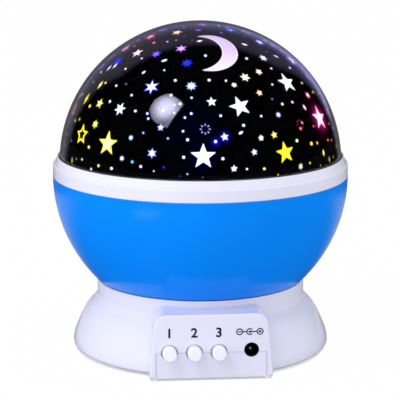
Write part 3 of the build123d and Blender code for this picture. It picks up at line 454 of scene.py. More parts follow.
# the windows by shape: place across and down the camera's picture, size over the tips in mm, turn in degrees,
# core, edge
front_shapes = {
    "moon": [(209.4, 50.9, 24.2, -0.9, "mauve", "pearl")],
    "five": [
        (203.3, 156.5, 10.8, 0, "white", "milk"), (240.0, 106.4, 9.4, 14, "white", "milk"),
        (286.9, 82.6, 9.8, -5, "white", "milk"), (107.5, 143.6, 10.6, 3, "lemon", "yellow"),
        (285.4, 152.6, 9.4, 5, "yellow", "yellow"), (319.4, 117.8, 11.0, -8, "white", "pink"),
        (137.2, 52.9, 5.6, -40, "white", "pink"), (117.6, 61.5, 6.8, -20, "blue", "deep"),
        (211.6, 101.8, 4.4, 4, "white", "milk"), (160.7, 127.6, 3.6, 0, "white", "blue"),
        (224.7, 136.9, 3.6, 8, "white", "milk"), (258.9, 71.9, 3.5, 20, "white", "lemon"),
        (234.2, 85.0, 2.8, 20, "white", "lemon"), (259.4, 92.9, 3.3, 10, "white", "orange"),
        (261.1, 138.0, 2.9, 0, "white", "milk"), (274.2, 134.9, 3.3, 10, "lemon", "yellow"),
        (254.3, 152.2, 3.1, 10, "white", "pale"), (234.1, 168.6, 3.2, 0, "white", "milk"),
        (259.4, 42.1, 5.4, -15, "milk", "blue"), (230.3, 30.1, 5.2, 0, "sky", "blue"),
        (291.6, 60.0, 8.4, -20, "white", "blue"), (177.0, 32.4, 4.8, 10, "white", "orange"),
        (202.5, 23.6, 4.6, 36, "lilac", "violet"), (150.5, 36.7, 5.2, 0, "pink", "rose"),
        (125.5, 48.3, 4.4, 0, "orange", "pink"), (99.7, 103.4, 4.6, -6, "lemon", "yellow"),
        (307.7, 95.2, 3.6, 20, "milk", "rose"),
    ],
    "hollow": [(81.8, 134.6, 9.0, 7, "yellow", "yellow")],
    "six": [
        (119.9, 109.0, 5.8, -14, "white", "milk"), (152.0, 153.3, 4.8, 0, "white", "blue"),
        (151.5, 87.0, 7.4, 8, "white", "blue"), (181.1, 48.6, 5.2, 10, "pink", "violet"),
        (156.1, 54.1, 4.8, 10, "violet", "blue"), (245.1, 77.3, 4.6, 12, "white", "lemon"),
        (263.3, 58.0, 3.9, 0, "white", "milk"), (162.8, 28.9, 4.6, 0, "violet", "violet"),
        (95.2, 124.3, 3.9, 0, "lemon", "yellow"), (278.3, 114.8, 3.0, 0, "white", "violet"),
        (130.9, 137.8, 2.6, 0, "white", "sky"), (121.9, 158.4, 2.4, 0, "white", "milk"),
        (300.7, 166.5, 3.0, 0, "yellow", "pale"),
    ],
    "eight": [(191.3, 86.0, 4.8, 0, "white", "sky")],
    "seven": [(187.0, 63.1, 5.0, 10, "blue", "blue")],
    "ring": [(205.2, 129.2, 5.0, 0, "pale", "blue"), (300.2, 124.4, 5.0, 0, "wine", "wine")],
    "diamond": [
        (86.5, 98.8, 5.2, -4, "yellow", "gold"), (164.3, 60.5, 2.8, -60, "white", "milk"),
        (143.7, 72.4, 2.2, -30, "white", "milk"), (199.5, 41.1, 2.8, -70, "white", "pink"),
        (198.3, 30.1, 2.6, 90, "violet", "violet"), (110.2, 55.9, 4.4, 0, "lilac", "violet"),
        (115.2, 65.6, 3.2, 0, "white", "milk"), (109.2, 68.0, 3.4, 0, "milk", "pale"),
        (101.4, 67.1, 3.6, 0, "violet", "violet"), (100.3, 85.0, 4.2, -6, "lemon", "gold"),
        (85.4, 85.5, 2.6, 0, "violet", "dusk"), (75.2, 107.0, 3.8, 0, "orange", "rust"),
        (73.5, 112.5, 3.0, 0, "orange", "rust"), (72.1, 160.4, 3.0, 0, "gold", "olive"),
        (244.6, 44.5, 3.0, 50, "white", "pink"), (265.8, 40.0, 3.2, 20, "painted_glint", "blue"),
        (273.7, 44.6, 3.4, 20, "painted_glint", "violet"), (283.2, 49.8, 4.8, 14, "painted_glint", "blue"),
        (276.0, 56.4, 3.0, 40, "milk", "violet"), (309.0, 75.8, 5.4, 14, "painted_glint", "blue"),
        (304.5, 107.4, 2.9, 14, "white", "pink"), (240.9, 132.8, 2.4, -60, "white", "milk"),
        (329.6, 111.6, 5.0, 8, "painted_glint", "violet"), (324.4, 102.2, 3.6, 8, "painted_glint", "violet"),
        (323.5, 152.8, 3.2, 6, "lemon", "gold"), (329.3, 159.4, 2.8, 0, "gold", "olive"),
    ],
}
# the dots by core and edge: place across and down the picture, size in mm
front_dots = {
    ("pink", "wine"): [(302.0, 122.8, 1.3)],
    ("orange", "rose"): [(300.7, 128.6, 1.5)],
    ("white", "milk"): [
        (116.3, 85.7, 1.2), (131.6, 95.2, 1.12), (109.9, 101.5, 1.28), (135.4, 111.0, 1.2), (171.1, 95.2, 1.2),
        (180.1, 103.9, 1.36), (163.3, 110.5, 1.68), (175.3, 80.4, 1.28), (209.1, 80.1, 1.36), (225.9, 80.7, 1.04),
        (205.5, 55.6, 1.36), (187.6, 139.8, 1.36), (183.7, 157.3, 1.36), (246.6, 58.5, 1.36), (243.6, 125.4, 1.28),
        (215.5, 141.5, 1.36), (222.9, 158.7, 1.36),
    ],
    ("white", "blue"): [
        (147.4, 113.6, 1.36), (148.3, 118.7, 1.28), (191.6, 97.8, 1.2), (191.3, 113.6, 1.36), (184.9, 117.7, 1.28),
        (183.0, 131.3, 1.28), (220.6, 115.8, 1.36), (246.9, 169.1, 1.2),
    ],
    ("milk", "milk"): [(174.3, 104.9, 1.04), (174.3, 113.0, 1.04)],
    ("milk", "sky"): [(164.3, 70.2, 1.04)],
    ("white", "pink"): [(125.5, 68.9, 1.2), (271.3, 68.5, 1.12), (292.3, 102.1, 1.2)],
    ("milk", "violet"): [(141.8, 58.5, 1.2), (227.8, 25.8, 1.52), (289.8, 67.9, 1.52)],
    ("dusk", "dusk"): [
        (192.3, 40.4, 0.96), (184.0, 36.7, 1.04), (177.0, 26.3, 1.12), (126.0, 84.0, 1.36), (244.1, 36.7, 1.28),
        (266.5, 51.8, 1.12), (202.8, 177.2, 0.8),
    ],
    ("grey", "grey"): [
        (176.2, 40.3, 1.12), (143.9, 34.7, 1.28), (67.6, 122.8, 1.36), (76.3, 158.9, 1.04), (64.7, 145.1, 1.28),
    ],
    ("pink", "violet"): [(167.3, 41.8, 1.2)],
    ("rose", "pink"): [(153.9, 42.7, 1.36)],
    ("rose", "rose"): [(137.8, 40.3, 1.28)],
    ("dusk", "violet"): [(183.7, 26.8, 1.28), (221.4, 32.8, 1.36)],
    ("rust", "rust"): [(134.5, 46.2, 1.2), (331.5, 140.2, 1.36), (328.6, 123.7, 1.12)],
    ("lemon", "olive"): [(101.0, 72.2, 1.36), (82.1, 159.4, 1.28)],
    ("lemon", "gold"): [(105.6, 82.8, 1.28), (88.8, 147.1, 1.52), (98.5, 165.7, 1.36)],
    ("olive", "olive"): [(93.2, 82.2, 1.36), (333.4, 156.8, 1.28), (320.6, 165.2, 0.88)],
    ("yellow", "gold"): [(89.8, 106.1, 1.68), (311.4, 143.6, 1.84)],
    ("gold", "olive"): [
        (82.4, 94.2, 1.52), (79.6, 119.2, 1.52), (75.2, 120.7, 1.52), (313.0, 92.1, 1.68), (309.9, 163.0, 1.28),
        (278.0, 174.7, 0.8),
    ],
    ("ice", "sky"): [(143.3, 132.9, 0.96), (167.9, 138.5, 1.04), (187.4, 174.0, 0.88)],
    ("sky", "sky"): [(132.2, 161.9, 1.36)],
    ("white", "pale"): [(140.7, 166.5, 1.28)],
    ("milk", "blue"): [(153.8, 171.1, 0.88)],
    ("blue", "deep"): [(163.6, 167.3, 1.04)],
    ("deep", "deep"): [(179.8, 176.2, 0.8)],
    ("white", "lemon"): [(111.5, 168.4, 1.36)],
    ("gold", "ice"): [(91.1, 169.1, 1.28)],
    ("dusk", "grey"): [(71.2, 140.5, 1.28)],
    ("olive", "grey"): [(66.5, 133.9, 1.28)],
    ("pink", "rust"): [(301.9, 83.0, 1.52)],
    ("white", "lilac"): [(272.3, 84.5, 1.04)],
    ("violet", "dusk"): [(272.1, 99.1, 0.96)],
    ("white", "orange"): [(282.3, 104.1, 1.36)],
    ("lemon", "sky"): [(261.2, 116.1, 1.2)],
    ("rose", "rust"): [(326.4, 109.6, 1.36), (313.5, 126.2, 1.12)],
    ("white", "yellow"): [(296.9, 140.7, 1.52)],
    ("gold", "orange"): [(317.2, 142.9, 1.36)],
    ("orange", "rust"): [(327.8, 140.0, 1.36)],
    ("lemon", "yellow"): [(264.3, 168.8, 1.28)],
}
front_windows = [Window(shape, *row) for shape, rows in front_shapes.items() for row in rows]
front_windows += [Window("dot", *dot, 0, *tint) for tint, dots in front_dots.items() for dot in dots]

back_seed = 7
back_tries = 6000
back_heights = (0.02, 0.99)      # over the dome's foot, as a share of its radius
back_clear_sight = 0.20          # no window is scattered where the camera sees the film squarely
back_gap = 1.6 * MM
back_reach = 0.55                # how far a window counts as reaching, as a share of its size
back_foot_reach = 0.6            # and how far towards the dome's foot
# up to this many windows: sizes in mm and shapes to draw from
back_kinds = (
    (12, (8.5, 10.5), ("five", "five", "hollow")),
    (60, (3.2, 5.2), ("five", "six", "eight", "ring", "five")),
    (230, (1.5, 2.2), ("dot", "dot", "dot", "diamond")),
)
back_tints = (
    ("white", "milk"), ("white", "blue"), ("lemon", "yellow"), ("white", "pink"), ("yellow", "gold"),
    ("pale", "violet"), ("white", "orange"), ("milk", "sky"),
)
window_proud = 0.06 * MM         # how far a window stands out of the film, and reaches in behind it
window_sunk = 0.04 * MM


def star_outline(points, waist):
    """A star's outline: tips at 0.5 from its middle, hollows at a share of that."""
    return [(0.5 * waist if step % 2 else 0.5, math.pi / 2 + math.pi * step / points) for step in range(2 * points)]


outlines = {
    "dot": [(0.46, math.tau * step / 10) for step in range(10)],
    "diamond": [(0.5 if step % 2 else 0.24, math.pi / 2 * step) for step in range(4)],
    "five": star_outline(5, 0.42),
    "six": star_outline(6, 0.42),
    "seven": star_outline(7, 0.42),
    "eight": star_outline(8, 0.46),
}
shape_names = sorted([*outlines, "hollow", "moon", "ring"])


def closed_plate(points, faces):
    """A thin closed plate: its upper faces as given, the lower ones turned over, and walls round every rim.

    A point is (x, y, rim), where rim goes from 0 inside the window to 1 on its outline.
    """
    shape = bmesh.new()
    rim = shape.verts.layers.float.new("rim")
    top = shape.verts.layers.float.new("top")
    layers = []
    for layer in (1.0, 0.0):
        made = []
        for x, y, share in points:
            vertex = shape.verts.new((x, y, 0.0))
            vertex[rim] = share
            vertex[top] = layer
            made.append(vertex)
        layers.append(made)
    upper, lower = layers
    edges = set()
    for face in faces:
        shape.faces.new([upper[point] for point in face])
        shape.faces.new([lower[point] for point in reversed(face)])
        edges.update(zip(face, face[1:] + face[:1]))
    for first, second in edges:
        if (second, first) not in edges:
            shape.faces.new((upper[second], upper[first], lower[first], lower[second]))
    return shape


def ring_plate(outline, shares, rims):
    """Points and faces of a plate with one ring of points for each share of its outline's size."""
    count = len(outline)
    points = [
        (share * radius * math.cos(angle), share * radius * math.sin(angle), rim)
        for share, rim in zip(shares, rims)
        for radius, angle in outline
    ]
    faces = [
        (row * count + step, (row + 1) * count + step, (row + 1) * count + after, row * count + after)
        for row in range(len(shares) - 1)
        for step, after in zip(range(count), [*range(1, count), 0])
    ]
    return points, faces


def star_plate(outline, shares=(0.34, 0.66, 1.0), rims=(0.0, 0.55, 1.0)):
    """Points and faces of a filled star or dot."""
    count = len(outline)
    points, faces = ring_plate(outline, shares, rims)
    middle = len(points)
    faces += [(middle, step, (step + 1) % count) for step in range(count)]
    return points + [(0.0, 0.0, 0.0)], faces


def ring_of_dots(petals=8, petal_size=0.25, middle_to_petal=0.36):
    """Points and faces of a ring of small dots."""
    points, faces = [], []
    dot_points, dot_faces = star_plate([(radius * petal_size, angle) for radius, angle in outlines["diamond"]])
    for petal in range(petals):
        turn = Matrix.Rotation(math.tau * petal / petals, 2)
        start = len(points)
        for x, y, rim in dot_points:
            spot = turn @ Vector((x, y + middle_to_petal))
            points.append((spot.x, spot.y, rim))
        faces += [tuple(start + point for point in face) for face in dot_faces]
    return points, faces


def moon_plate(steps=36, rows=10):
    """Points and faces of a crescent that opens to the left: what one disc leaves of another.

    Its borders and its lower part take the rim's tint.
    """
    outer, inner, shift = 0.5, 0.4785, 0.2585
    whole = 0.985                # short of the tips, where it has no width
    border_falloff = 6
    tint_least, tint_more, tint_from, tint_slope = 0.35, 0.50, 0.30, 1.5
    tip_x = (inner ** 2 - outer ** 2 - shift ** 2) / (2 * shift)
    tip_y = math.sqrt(outer ** 2 - tip_x ** 2)
    outer_turn = math.atan2(tip_y, tip_x)
    inner_turn = math.atan2(tip_y, tip_x + shift)
    points = []
    for step in range(steps + 1):
        along = whole * (2 * step / steps - 1)
        far = Vector((math.cos(along * outer_turn), math.sin(along * outer_turn))) * outer
        near = Vector((math.cos(along * inner_turn), math.sin(along * inner_turn))) * inner
        near.x -= shift
        for row in range(rows + 1):
            share = row / rows
            spot = near.lerp(far, share)
            border = abs(2 * share - 1) ** border_falloff
            low_down = tint_least + tint_more * min(max(tint_from - tint_slope * spot.y, 0.0), 1.0)
            points.append((spot.x, spot.y, max(border, low_down)))
    width = rows + 1
    faces = [
        (step * width + row, step * width + row + 1, (step + 1) * width + row + 1, (step + 1) * width + row)
        for step in range(steps)
        for row in range(rows)
    ]
    return points, faces


def make_shape(name):
    """One window's shape, a unit across, with its outline marked for the rim's tint."""
    if name == "hollow":
        plate = ring_plate(star_outline(5, 0.50), (0.62, 0.80, 1.0), (0.0, 0.0, 1.0))
    elif name == "moon":
        plate = moon_plate()
    elif name == "ring":
        plate = ring_of_dots()
    else:
        plate = star_plate(outlines[name])
    mesh = finished_mesh(f"window_shape_{name}", closed_plate(*plate))
    return bpy.data.objects.new(mesh.name, mesh)


def make_window_tree():
    """Sets window shapes on a ball, upright and turned, and carries them through the film's thickness."""
    tree, given, out = new_group(
        "set_windows", "GeometryNodeTree",
        [
            ("Geometry", "NodeSocketGeometry", None),
            ("Shapes", "NodeSocketCollection", None),
            ("Centre", "NodeSocketVector", None),
            ("Outer Radius", "NodeSocketFloat", 0.06),
            ("Inner Radius", "NodeSocketFloat", 0.059),
            ("Glass", "NodeSocketMaterial", None),
        ],
        [("Geometry", "NodeSocketGeometry")],
    )

    def own(name, kind):
        return put(tree, "GeometryNodeInputNamedAttribute", {"Name": name}, data_type=kind)[0]

    place = put(tree, "GeometryNodeInputPosition")[0]
    away = vector(tree, "NORMALIZE", vector(tree, "SUBTRACT", place, given["Centre"]))
    outward = put(tree, "FunctionNodeAlignRotationToVector", {"Vector": away}, axis="Z")[0]
    facing = {"Rotation": outward, "Vector": (0.0, 0.0, 1.0)}
    upright = put(tree, "FunctionNodeAlignRotationToVector", facing, axis="Y", pivot_axis="Z")[0]
    spin = put(tree, "FunctionNodeAxisAngleToRotation", {"Axis": (0.0, 0.0, 1.0), "Angle": own("turn", "FLOAT")})
    spun = {"Rotation": upright, "Rotate By": spin[0]}
    turned = put(tree, "FunctionNodeRotateRotation", spun, rotation_space="LOCAL")[0]
    shapes = put(tree, "GeometryNodeCollectionInfo", {
        "Collection": given["Shapes"], "Separate Children": True, "Reset Children": True,
    })[0]
    copies = put(tree, "GeometryNodeInstanceOnPoints", {
        "Points": given["Geometry"], "Instance": shapes, "Pick Instance": True,
        "Instance Index": own("shape", "INT"), "Rotation": turned, "Scale": own("size", "FLOAT"),
    })[0]
    real = put(tree, "GeometryNodeRealizeInstances", {"Geometry": copies})[0]
    radius = put(tree, "ShaderNodeMapRange", {
        "Value": own("top", "FLOAT"), "To Min": given["Inner Radius"], "To Max": given["Outer Radius"],
    })[0]
    curved = vector(tree, "ADD", given["Centre"], vector(tree, "MULTIPLY", away, radius))
    moved = put(tree, "GeometryNodeSetPosition", {"Geometry": real, "Position": curved})[0]
    glazed = put(tree, "GeometryNodeSetMaterial", {"Geometry": moved, "Material": given["Glass"]})[0]
    tree.links.new(glazed, out.inputs[0])
    return tree


def back_windows():
    """Windows all round the rest of the dome, kept clear of each other and of the front ones."""
    draw = random.Random(back_seed)
    taken = [(seen_on_film(w.across, w.down), w.size * MM) for w in front_windows]
    made, tries = [], 0
    while len(made) < back_kinds[-1][0] and tries < back_tries:
        tries += 1
        sizes, shapes = next(kinds for count, *kinds in back_kinds if len(made) < count)
        size = draw.uniform(*sizes)
        turn = draw.uniform(0.0, math.tau)
        height = draw.uniform(*back_heights)
        level = math.sqrt(1 - height ** 2)
        away = Vector((math.cos(turn) * level, math.sin(turn) * level, height))
        spot = dome_centre + away * film_radius
        shape = draw.choice(shapes)
        twist = draw.uniform(0.0, math.tau)
        tint = back_tints[int(4 * (turn / math.tau) + 4 * height + draw.random()) % len(back_tints)]
        if away.dot((camera_place - spot).normalized()) > back_clear_sight:
            continue
        if spot.z - dome_centre.z < back_foot_reach * size * MM:
            continue
        if any((spot - other).length < back_reach * (size * MM + width) + back_gap for other, width in taken):
            continue
        taken.append((spot, size * MM))
        made.append((spot, shape, size, twist, *tint))
    return made


def make_windows(glass):
    """All lit windows as one mesh on the film."""
    rows = [
        (seen_on_film(w.across, w.down), w.shape, w.size, math.radians(w.turn), w.core, w.edge)
        for w in front_windows
    ] + back_windows()
    mesh = bpy.data.meshes.new("window_places")
    mesh.from_pydata([row[0] for row in rows], [], [])
    for name, kind, values in (
        ("shape", "INT", [shape_names.index(row[1]) for row in rows]),
        ("size", "FLOAT", [row[2] * MM for row in rows]),
        ("turn", "FLOAT", [row[3] for row in rows]),
    ):
        mesh.attributes.new(name, kind, "POINT").data.foreach_set("value", values)
    for name, column in (("core", 4), ("edge", 5)):
        channels = [channel for row in rows for channel in (*tints[row[column]], 1.0)]
        mesh.attributes.new(name, "FLOAT_COLOR", "POINT").data.foreach_set("color", channels)
    places = set_out("window_places", mesh)

    shapes = bpy.data.collections.new("window_shapes")
    for name in shape_names:
        shapes.objects.link(make_shape(name))
    modifier = places.modifiers.new("windows", "NODES")
    modifier.node_group = make_window_tree()
    values = {
        "Shapes": shapes, "Centre": dome_centre, "Outer Radius": film_radius + window_proud,
        "Inner Radius": film_radius - film_thickness - window_sunk, "Glass": glass,
    }
    for item in modifier.node_group.interface.items_tree:
        if item.name in values:
            modifier[item.identifier] = values[item.name]

    windows = set_out("star_windows", final_mesh(places))
    windows.data.name = "star_windows"
    bpy.data.objects.remove(places)
    for shape in list(shapes.objects):
        bpy.data.objects.remove(shape)
    bpy.data.collections.remove(shapes)
    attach(windows, "dome")


make_windows(lit_window())

# ---- Printed marks on the panel ----

print_half = 0.02 * MM           # half the print's thickness


def text_mesh(name, text, height, bold):
    """A word as a thin closed mesh in its own plane, centred."""
    digit_share = 0.73           # a digit's height in a font of size 1
    curve = bpy.data.curves.new(name, "FONT")
    curve.body = text
    curve.size = height / digit_share
    curve.align_x = "CENTER"
    curve.offset = bold
    curve.extrude = print_half
    curve.resolution_u = 4
    holder = set_out(name, curve)
    mesh = final_mesh(holder)
    bpy.data.objects.remove(holder)
    return mesh


def bar(shape, x, y, width, height):
    """A flat bar of print."""
    made = bmesh.ops.create_cube(shape, size=1.0)["verts"]
    bmesh.ops.scale(shape, vec=(width, height, 2 * print_half), verts=made)
    bmesh.ops.translate(shape, vec=(x, y, 0.0), verts=made)


def arc_band(shape, x, y, radius, width, start, end, steps=24):
    """A flat curved band of print, from one angle to another in degrees."""
    rows = []
    inner, outer = radius - width / 2, radius + width / 2
    section = ((inner, -print_half), (outer, -print_half), (outer, print_half), (inner, print_half))
    for step in range(steps + 1):
        angle = math.radians(start + (end - start) * step / steps)
        rows.append([shape.verts.new((x + r * math.cos(angle), y + r * math.sin(angle), z)) for r, z in section])
    closed = abs(end - start) >= 360
    if closed:
        for vertex in rows.pop():
            shape.verts.remove(vertex)
    count = len(rows)
    for step in range(count if closed else count - 1):
        here, after = rows[step], rows[(step + 1) % count]
        for side in range(4):
            turn = (side + 1) % 4
            shape.faces.new((here[side], here[turn], after[turn], after[side]))
    if not closed:
        shape.faces.new(rows[0][::-1])
        shape.faces.new(rows[-1])


def plug_mark():
    """The common mark for a barrel plug's poles: minus outside, plus in the middle."""
    shape = bmesh.new()
    line, sign, stroke = 0.48 * MM, 1.25 * MM, 1.30 * MM
    dot, dot_line = 0.28 * MM, 0.52 * MM
    end_x, start_x = 4.3 * MM, 0.3 * MM
    for x in (-end_x, end_x):
        arc_band(shape, x, 0.0, sign, line, 0, 360)
        bar(shape, x, 0.0, stroke, line)
    bar(shape, end_x, 0.0, line, stroke)
    arc_band(shape, 0.0, 0.0, sign, line, 40, 320, steps=20)
    arc_band(shape, 0.0, 0.0, dot, dot_line, 0, 360, steps=12)
    for low, high in ((-end_x + sign, -sign), (start_x, end_x - sign)):
        bar(shape, (low + high) / 2, 0.0, high - low, line)
    bmesh.ops.recalc_face_normals(shape, faces=shape.faces[:])
    return finished_mesh("plug_mark", shape)


def make_marks(ink):
    """Numbers over the buttons and the plug's mark over the inlet, printed on the panel."""
    upright = Matrix.Rotation(math.pi / 2, 4, "X")
    number_height, number_bold, number_foot_z = 4.1 * MM, 0.15 * MM, 18.8 * MM
    mark_aside, mark_z = -0.8 * MM, 20.75 * MM
    proud = 0.015 * MM
    places = [
        (text_mesh(f"number_{n}", str(n), number_height, number_bold), (low.x + high.x) / 2, number_foot_z)
        for n, (low, high) in enumerate(button_boxes, start=1)
    ]
    places.append((plug_mark(), (inlet_low.x + inlet_high.x) / 2 + mark_aside, mark_z))
    shape = bmesh.new()
    for mesh, x, z in places:
        mesh.transform(Matrix.Translation((x, panel_y - proud, z)) @ upright)
        shape.from_mesh(mesh)
        bpy.data.meshes.remove(mesh)
    bmesh.ops.remove_doubles(shape, verts=shape.verts[:], dist=1e-7)
    marks = set_out("panel_marks", finished_mesh("panel_marks", shape))
    marks.data.materials.append(ink)
    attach(marks, "base")


make_marks(moulded("mark_ink", (0.008, 0.008, 0.010), 0.45, wave=0.004, grain=0.0003))

# ---- Floor, world and lamps ----

floor_radius = 6.0
floor_plain = (0.66, 0.66, 0.68, 1.0)
# what the floor shows in gloss: near, far, behind the object, and in a patch of soft light that the bowl mirrors
floor_near = (0.025, 0.025, 0.03, 1.0)
floor_far = (0.006, 0.006, 0.008, 1.0)
floor_behind = (0.52, 0.52, 0.56, 1.0)
floor_lit = (2.2, 2.2, 2.2, 1.0)
behind_rise = (0.02, 0.14)       # where it starts and is full, by Y
near_to_far = (0.27, 0.36)       # by the distance from the axis
aside = (0.56, 0.66)             # by X as a share of that
far_share = 0.18                 # how much of what is behind still shows far away
light_patch = (-0.172, -0.193, 0.0)
light_patch_full, light_patch_reach = 0.0195, 0.065
# how far the floor darkens round what nearly touches it (a contact shadow, partly painted by an occlusion mask), how
# fast that fades, and how white it is elsewhere
contact_reach = 1.2 * MM
contact_falloff = 2.2
floor_white = 0.985

# what the world shows in gloss: a wall, and a band on it
wall_left, wall_right = (0.085, 0.082, 0.10, 1.0), (0.075, 0.07, 0.10, 1.0)
band_left, band_right = (0.13, 0.12, 0.18, 1.0), (0.30, 0.29, 0.62, 1.0)
left_to_right = (-0.5, 0.5)      # all of these by the way's X, Y or Z
wall_rise, wall_aside = (0.45, 0.60), (0.57, 0.66)
band_rise, band_fall = (0.78, 0.90), (0.935, 0.970)
band_low, band_low_share = (0.0, 0.55), 0.35
band_fall_share = 0.15
sky_rise = (0.1, 0.95)
sky_low, sky_high = (0.62, 0.62, 0.64, 1.0), (0.94, 0.94, 0.98, 1.0)

# the soft box's outline, as the camera sees it mirrored in the dome
highlight_outline = ((169.1, 94.0), (181.8, 101.5), (184.2, 105.3), (167.4, 129.0), (156.1, 123.3), (151.6, 118.5),
                     (149.6, 109.5), (154.9, 100.3), (161.4, 96.5))
highlight_hot = (166.2, 108.0)   # its brightest place, and where it has faded
highlight_faded = (153.4, 120.8)
highlight_edge = 0.008           # how far in from its outline the soft box comes up to full light
hot_reach = 0.20                 # how far the brightest place reaches, as a share of the way to the faded one
faded_share = 0.20
way_to_soft_box = (-0.477, -0.486, 0.732)
soft_box_tint = (0.79, 0.80, 1.0)


def make_floor():
    """A wide pale floor that looks white, keeps a faint shadow, and is clear when seen from below."""
    shape = bmesh.new()
    bmesh.ops.create_circle(shape, cap_ends=True, radius=floor_radius, segments=64)
    floor = set_out("floor", finished_mesh("floor", shape))

    material = bpy.data.materials.new("pale_floor")
    tree = empty_tree(material)
    plain = put(tree, "ShaderNodeBsdfDiffuse", {"Color": floor_plain})[0]
    white = put(tree, "ShaderNodeEmission", {"Color": full_light})[0]
    place = put(tree, "ShaderNodeTexCoord")["Object"]
    parts = put(tree, "ShaderNodeSeparateXYZ", {0: place})
    behind = step_up(tree, parts["Y"], *behind_rise)
    length = vector(tree, "LENGTH", place, result="Value")
    sideways = number(tree, "DIVIDE", number(tree, "ABSOLUTE", parts["X"]), length)
    straight_back = step_up(tree, sideways, *aside, far_share, 0.0)
    far = step_up(tree, length, *near_to_far)
    seen_behind = number(tree, "ADD", number(tree, "SUBTRACT", 1.0, far), number(tree, "MULTIPLY", far, straight_back))
    share = number(tree, "MULTIPLY", behind, seen_behind)
    mirrored = blend_colour(tree, share, blend_colour(tree, far, floor_near, floor_far), floor_behind)
    from_patch = vector(tree, "DISTANCE", place, light_patch, result="Value")
    in_patch = step_up(tree, from_patch, light_patch_full, light_patch_reach, 1.0, 0.0)
    mirrored = blend_colour(tree, in_patch, mirrored, floor_lit)
    dim = put(tree, "ShaderNodeEmission", {"Color": mirrored})[0]
    # contact shadow, partly painted: the occlusion mask, not the light, chooses where the plain floor with its real
    # shade shows through the white
    open_sky = put(tree, "ShaderNodeAmbientOcclusion", {"Distance": contact_reach}, samples=16)["AO"]
    share = number(tree, "MULTIPLY", number(tree, "POWER", open_sky, contact_falloff), floor_white)
    below = put(tree, "ShaderNodeNewGeometry")["Backfacing"]
    clear = put(tree, "ShaderNodeBsdfTransparent")[0]
    eye, mirror = eye_and_mirror(tree)

    def blend_shader(share, first, second):
        return put(tree, "ShaderNodeMixShader", {0: share, 1: first, 2: second})[0]

    top = blend_shader(eye, blend_shader(mirror, plain, dim), blend_shader(share, plain, white))
    put(tree, "ShaderNodeOutputMaterial", {"Surface": blend_shader(below, top, clear)})
    floor.data.materials.append(material)


def eye_and_mirror(tree):
    """Two masks: what the eye sees, also straight through clear plastic, and what shows in gloss."""
    path = put(tree, "ShaderNodeLightPath")
    once = 0.5                   # between no bounce and one
    bounced = number(tree, "ADD", path["Diffuse Depth"], path["Glossy Depth"])
    straight = number(tree, "LESS_THAN", bounced, once)
    through = number(tree, "MULTIPLY", path["Is Transmission Ray"], straight)
    eye = number(tree, "ADD", path["Is Camera Ray"], through, clamp=True)
    glossy = number(tree, "GREATER_THAN", path["Glossy Depth"], once)
    return eye, number(tree, "MULTIPLY", glossy, number(tree, "LESS_THAN", path["Diffuse Depth"], once))


def make_world():
    """White to the eye; soft light on the object; a dim wall behind it in reflections."""
    world = bpy.data.worlds.new("studio")
    scene.world = world
    tree = empty_tree(world)
    way = put(tree, "ShaderNodeTexCoord")["Generated"]
    parts = put(tree, "ShaderNodeSeparateXYZ", {0: way})
    side = step_up(tree, parts["X"], *left_to_right)
    ends = step_up(tree, number(tree, "ABSOLUTE", parts["X"]), *wall_aside, 1.0, 0.0)
    wall = number(tree, "MULTIPLY", step_up(tree, parts["Y"], *wall_rise), ends)
    low = step_up(tree, parts["Z"], *band_low, 1.0, band_low_share)
    fall = step_up(tree, parts["Y"], *band_fall, 1.0, band_fall_share)
    band = number(tree, "MULTIPLY", number(tree, "MULTIPLY", step_up(tree, parts["Y"], *band_rise), fall), low)
    wall_colour = blend_colour(tree, side, wall_left, wall_right)
    band_colour = blend_colour(tree, side, band_left, band_right)
    wall_light = blend_colour(tree, wall, no_light, blend_colour(tree, band, wall_colour, band_colour))
    eye, mirror = eye_and_mirror(tree)
    overhead = step_up(tree, parts["Z"], *sky_rise)
    soft = blend_colour(tree, mirror, blend_colour(tree, overhead, sky_low, sky_high), wall_light)
    colour = blend_colour(tree, eye, soft, full_light)
    light = put(tree, "ShaderNodeBackground", {"Color": colour})[0]
    put(tree, "ShaderNodeOutputWorld", {"Surface": light})


def lamp_frame(way):
    """A lamp's right, up and back directions, for the way from the dome to it."""
    back = Vector(way).normalized()
    right = Vector((0.0, 0.0, 1.0)).cross(back).normalized()
    return right, back.cross(right), back


def make_lamp(name, way, distance, size, radiance, colour=(1.0, 1.0, 1.0), shift=(0.0, 0.0), in_gloss=False):
    """A flat lamp square to a line from the dome, shifted along its own sides."""
    right, up, back = lamp_frame(way)
    data = bpy.data.lights.new(name, "AREA")
    data.shape = "RECTANGLE"
    data.size, data.size_y = size
    data.energy = radiance * math.pi * size[0] * size[1]
    data.color = colour
    lamp = set_out(name, data)
    place = dome_centre + back * distance + right * shift[0] + up * shift[1]
    lamp.matrix_world = Matrix.Translation(place) @ Matrix((right, up, back)).transposed().to_4x4()
    lamp.visible_camera = False
    lamp.visible_transmission = in_gloss
    lamp.visible_glossy = in_gloss
    return data


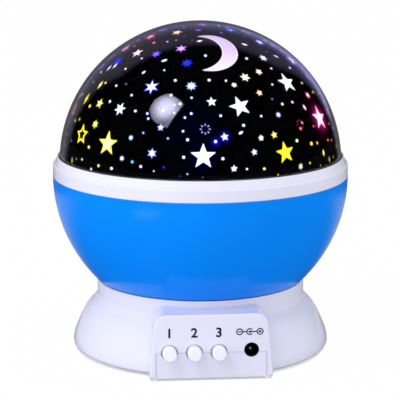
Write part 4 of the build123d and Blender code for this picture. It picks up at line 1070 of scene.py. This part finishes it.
def make_soft_box(way, distance, radiance, fill, colour):
    """A soft box whose outline is set by the highlight it makes on the dome, and a wide fill just behind it."""
    margin = 0.02
    right, up, back = lamp_frame(way)
    middle = dome_centre + back * distance

    def on_lamp(across, down):
        """Where the lamp's plane is mirrored at a place in the picture."""
        hit = met_on_dome(camera_place, way_out(across, down), film_radius)
        out = (hit - dome_centre).normalized()
        bounce = (hit - camera_place).normalized()
        bounce -= 2 * bounce.dot(out) * out
        spot = hit + bounce * ((middle - hit).dot(back) / bounce.dot(back)) - middle
        return Vector((spot.dot(right), spot.dot(up)))

    corners = [on_lamp(*place) for place in highlight_outline]
    hot = on_lamp(*highlight_hot)
    fade = (on_lamp(*highlight_faded) - hot).length
    low, high = (Vector([pick(along) for along in zip(*corners)]) for pick in (min, max))
    size = high - low + Vector((margin, margin))
    shift = (low + high) / 2
    make_lamp("soft_fill", way, distance + margin, size, fill, colour, shift)
    data = make_lamp("soft_box", way, distance, size, radiance, colour, shift, in_gloss=True)

    data.use_nodes = True
    tree = data.node_tree
    place = vector(tree, "SUBTRACT", put(tree, "ShaderNodeNewGeometry")["Position"], middle)
    x, y = (vector(tree, "DOT_PRODUCT", place, axis, result="Value") for axis in (right, up))
    centre = sum(corners, Vector((0.0, 0.0))) / len(corners)
    inside = None
    for first, second in zip(corners, corners[1:] + corners[:1]):
        side = (second - first).orthogonal().normalized()
        if (centre - first).dot(side) < 0:
            side.negate()
        reach = number(tree, "ADD", number(tree, "MULTIPLY", x, side.x), number(tree, "MULTIPLY", y, side.y))
        reach = number(tree, "SUBTRACT", reach, first.dot(side))
        inside = reach if inside is None else number(tree, "MINIMUM", inside, reach)
    squares = [number(tree, "POWER", number(tree, "SUBTRACT", *pair), 2.0) for pair in ((x, hot.x), (y, hot.y))]
    away = number(tree, "SQRT", number(tree, "ADD", *squares))
    spot = step_up(tree, number(tree, "DIVIDE", away, fade), hot_reach, 1.0, 1.0, faded_share)
    level = number(tree, "MULTIPLY", step_up(tree, inside, 0.0, highlight_edge), spot)
    tree.links.new(level, tree.nodes["Emission"].inputs["Strength"])


make_floor()
make_world()
make_soft_box(way_to_soft_box, distance=1.0, radiance=4.0, fill=3.8, colour=soft_box_tint)
make_lamp("left_screen", (-0.92, -0.38, 0.12), distance=1.6, size=(1.0, 1.0), radiance=1.5)
make_lamp("right_screen", (0.98, 0.10, 0.05), distance=1.6, size=(1.0, 0.9), radiance=2.4)
make_lamp("front_screen", (-0.10, -1.0, -0.03), distance=1.6, size=(1.4, 0.6), radiance=2.4)

scene.view_settings.view_transform = "Standard"
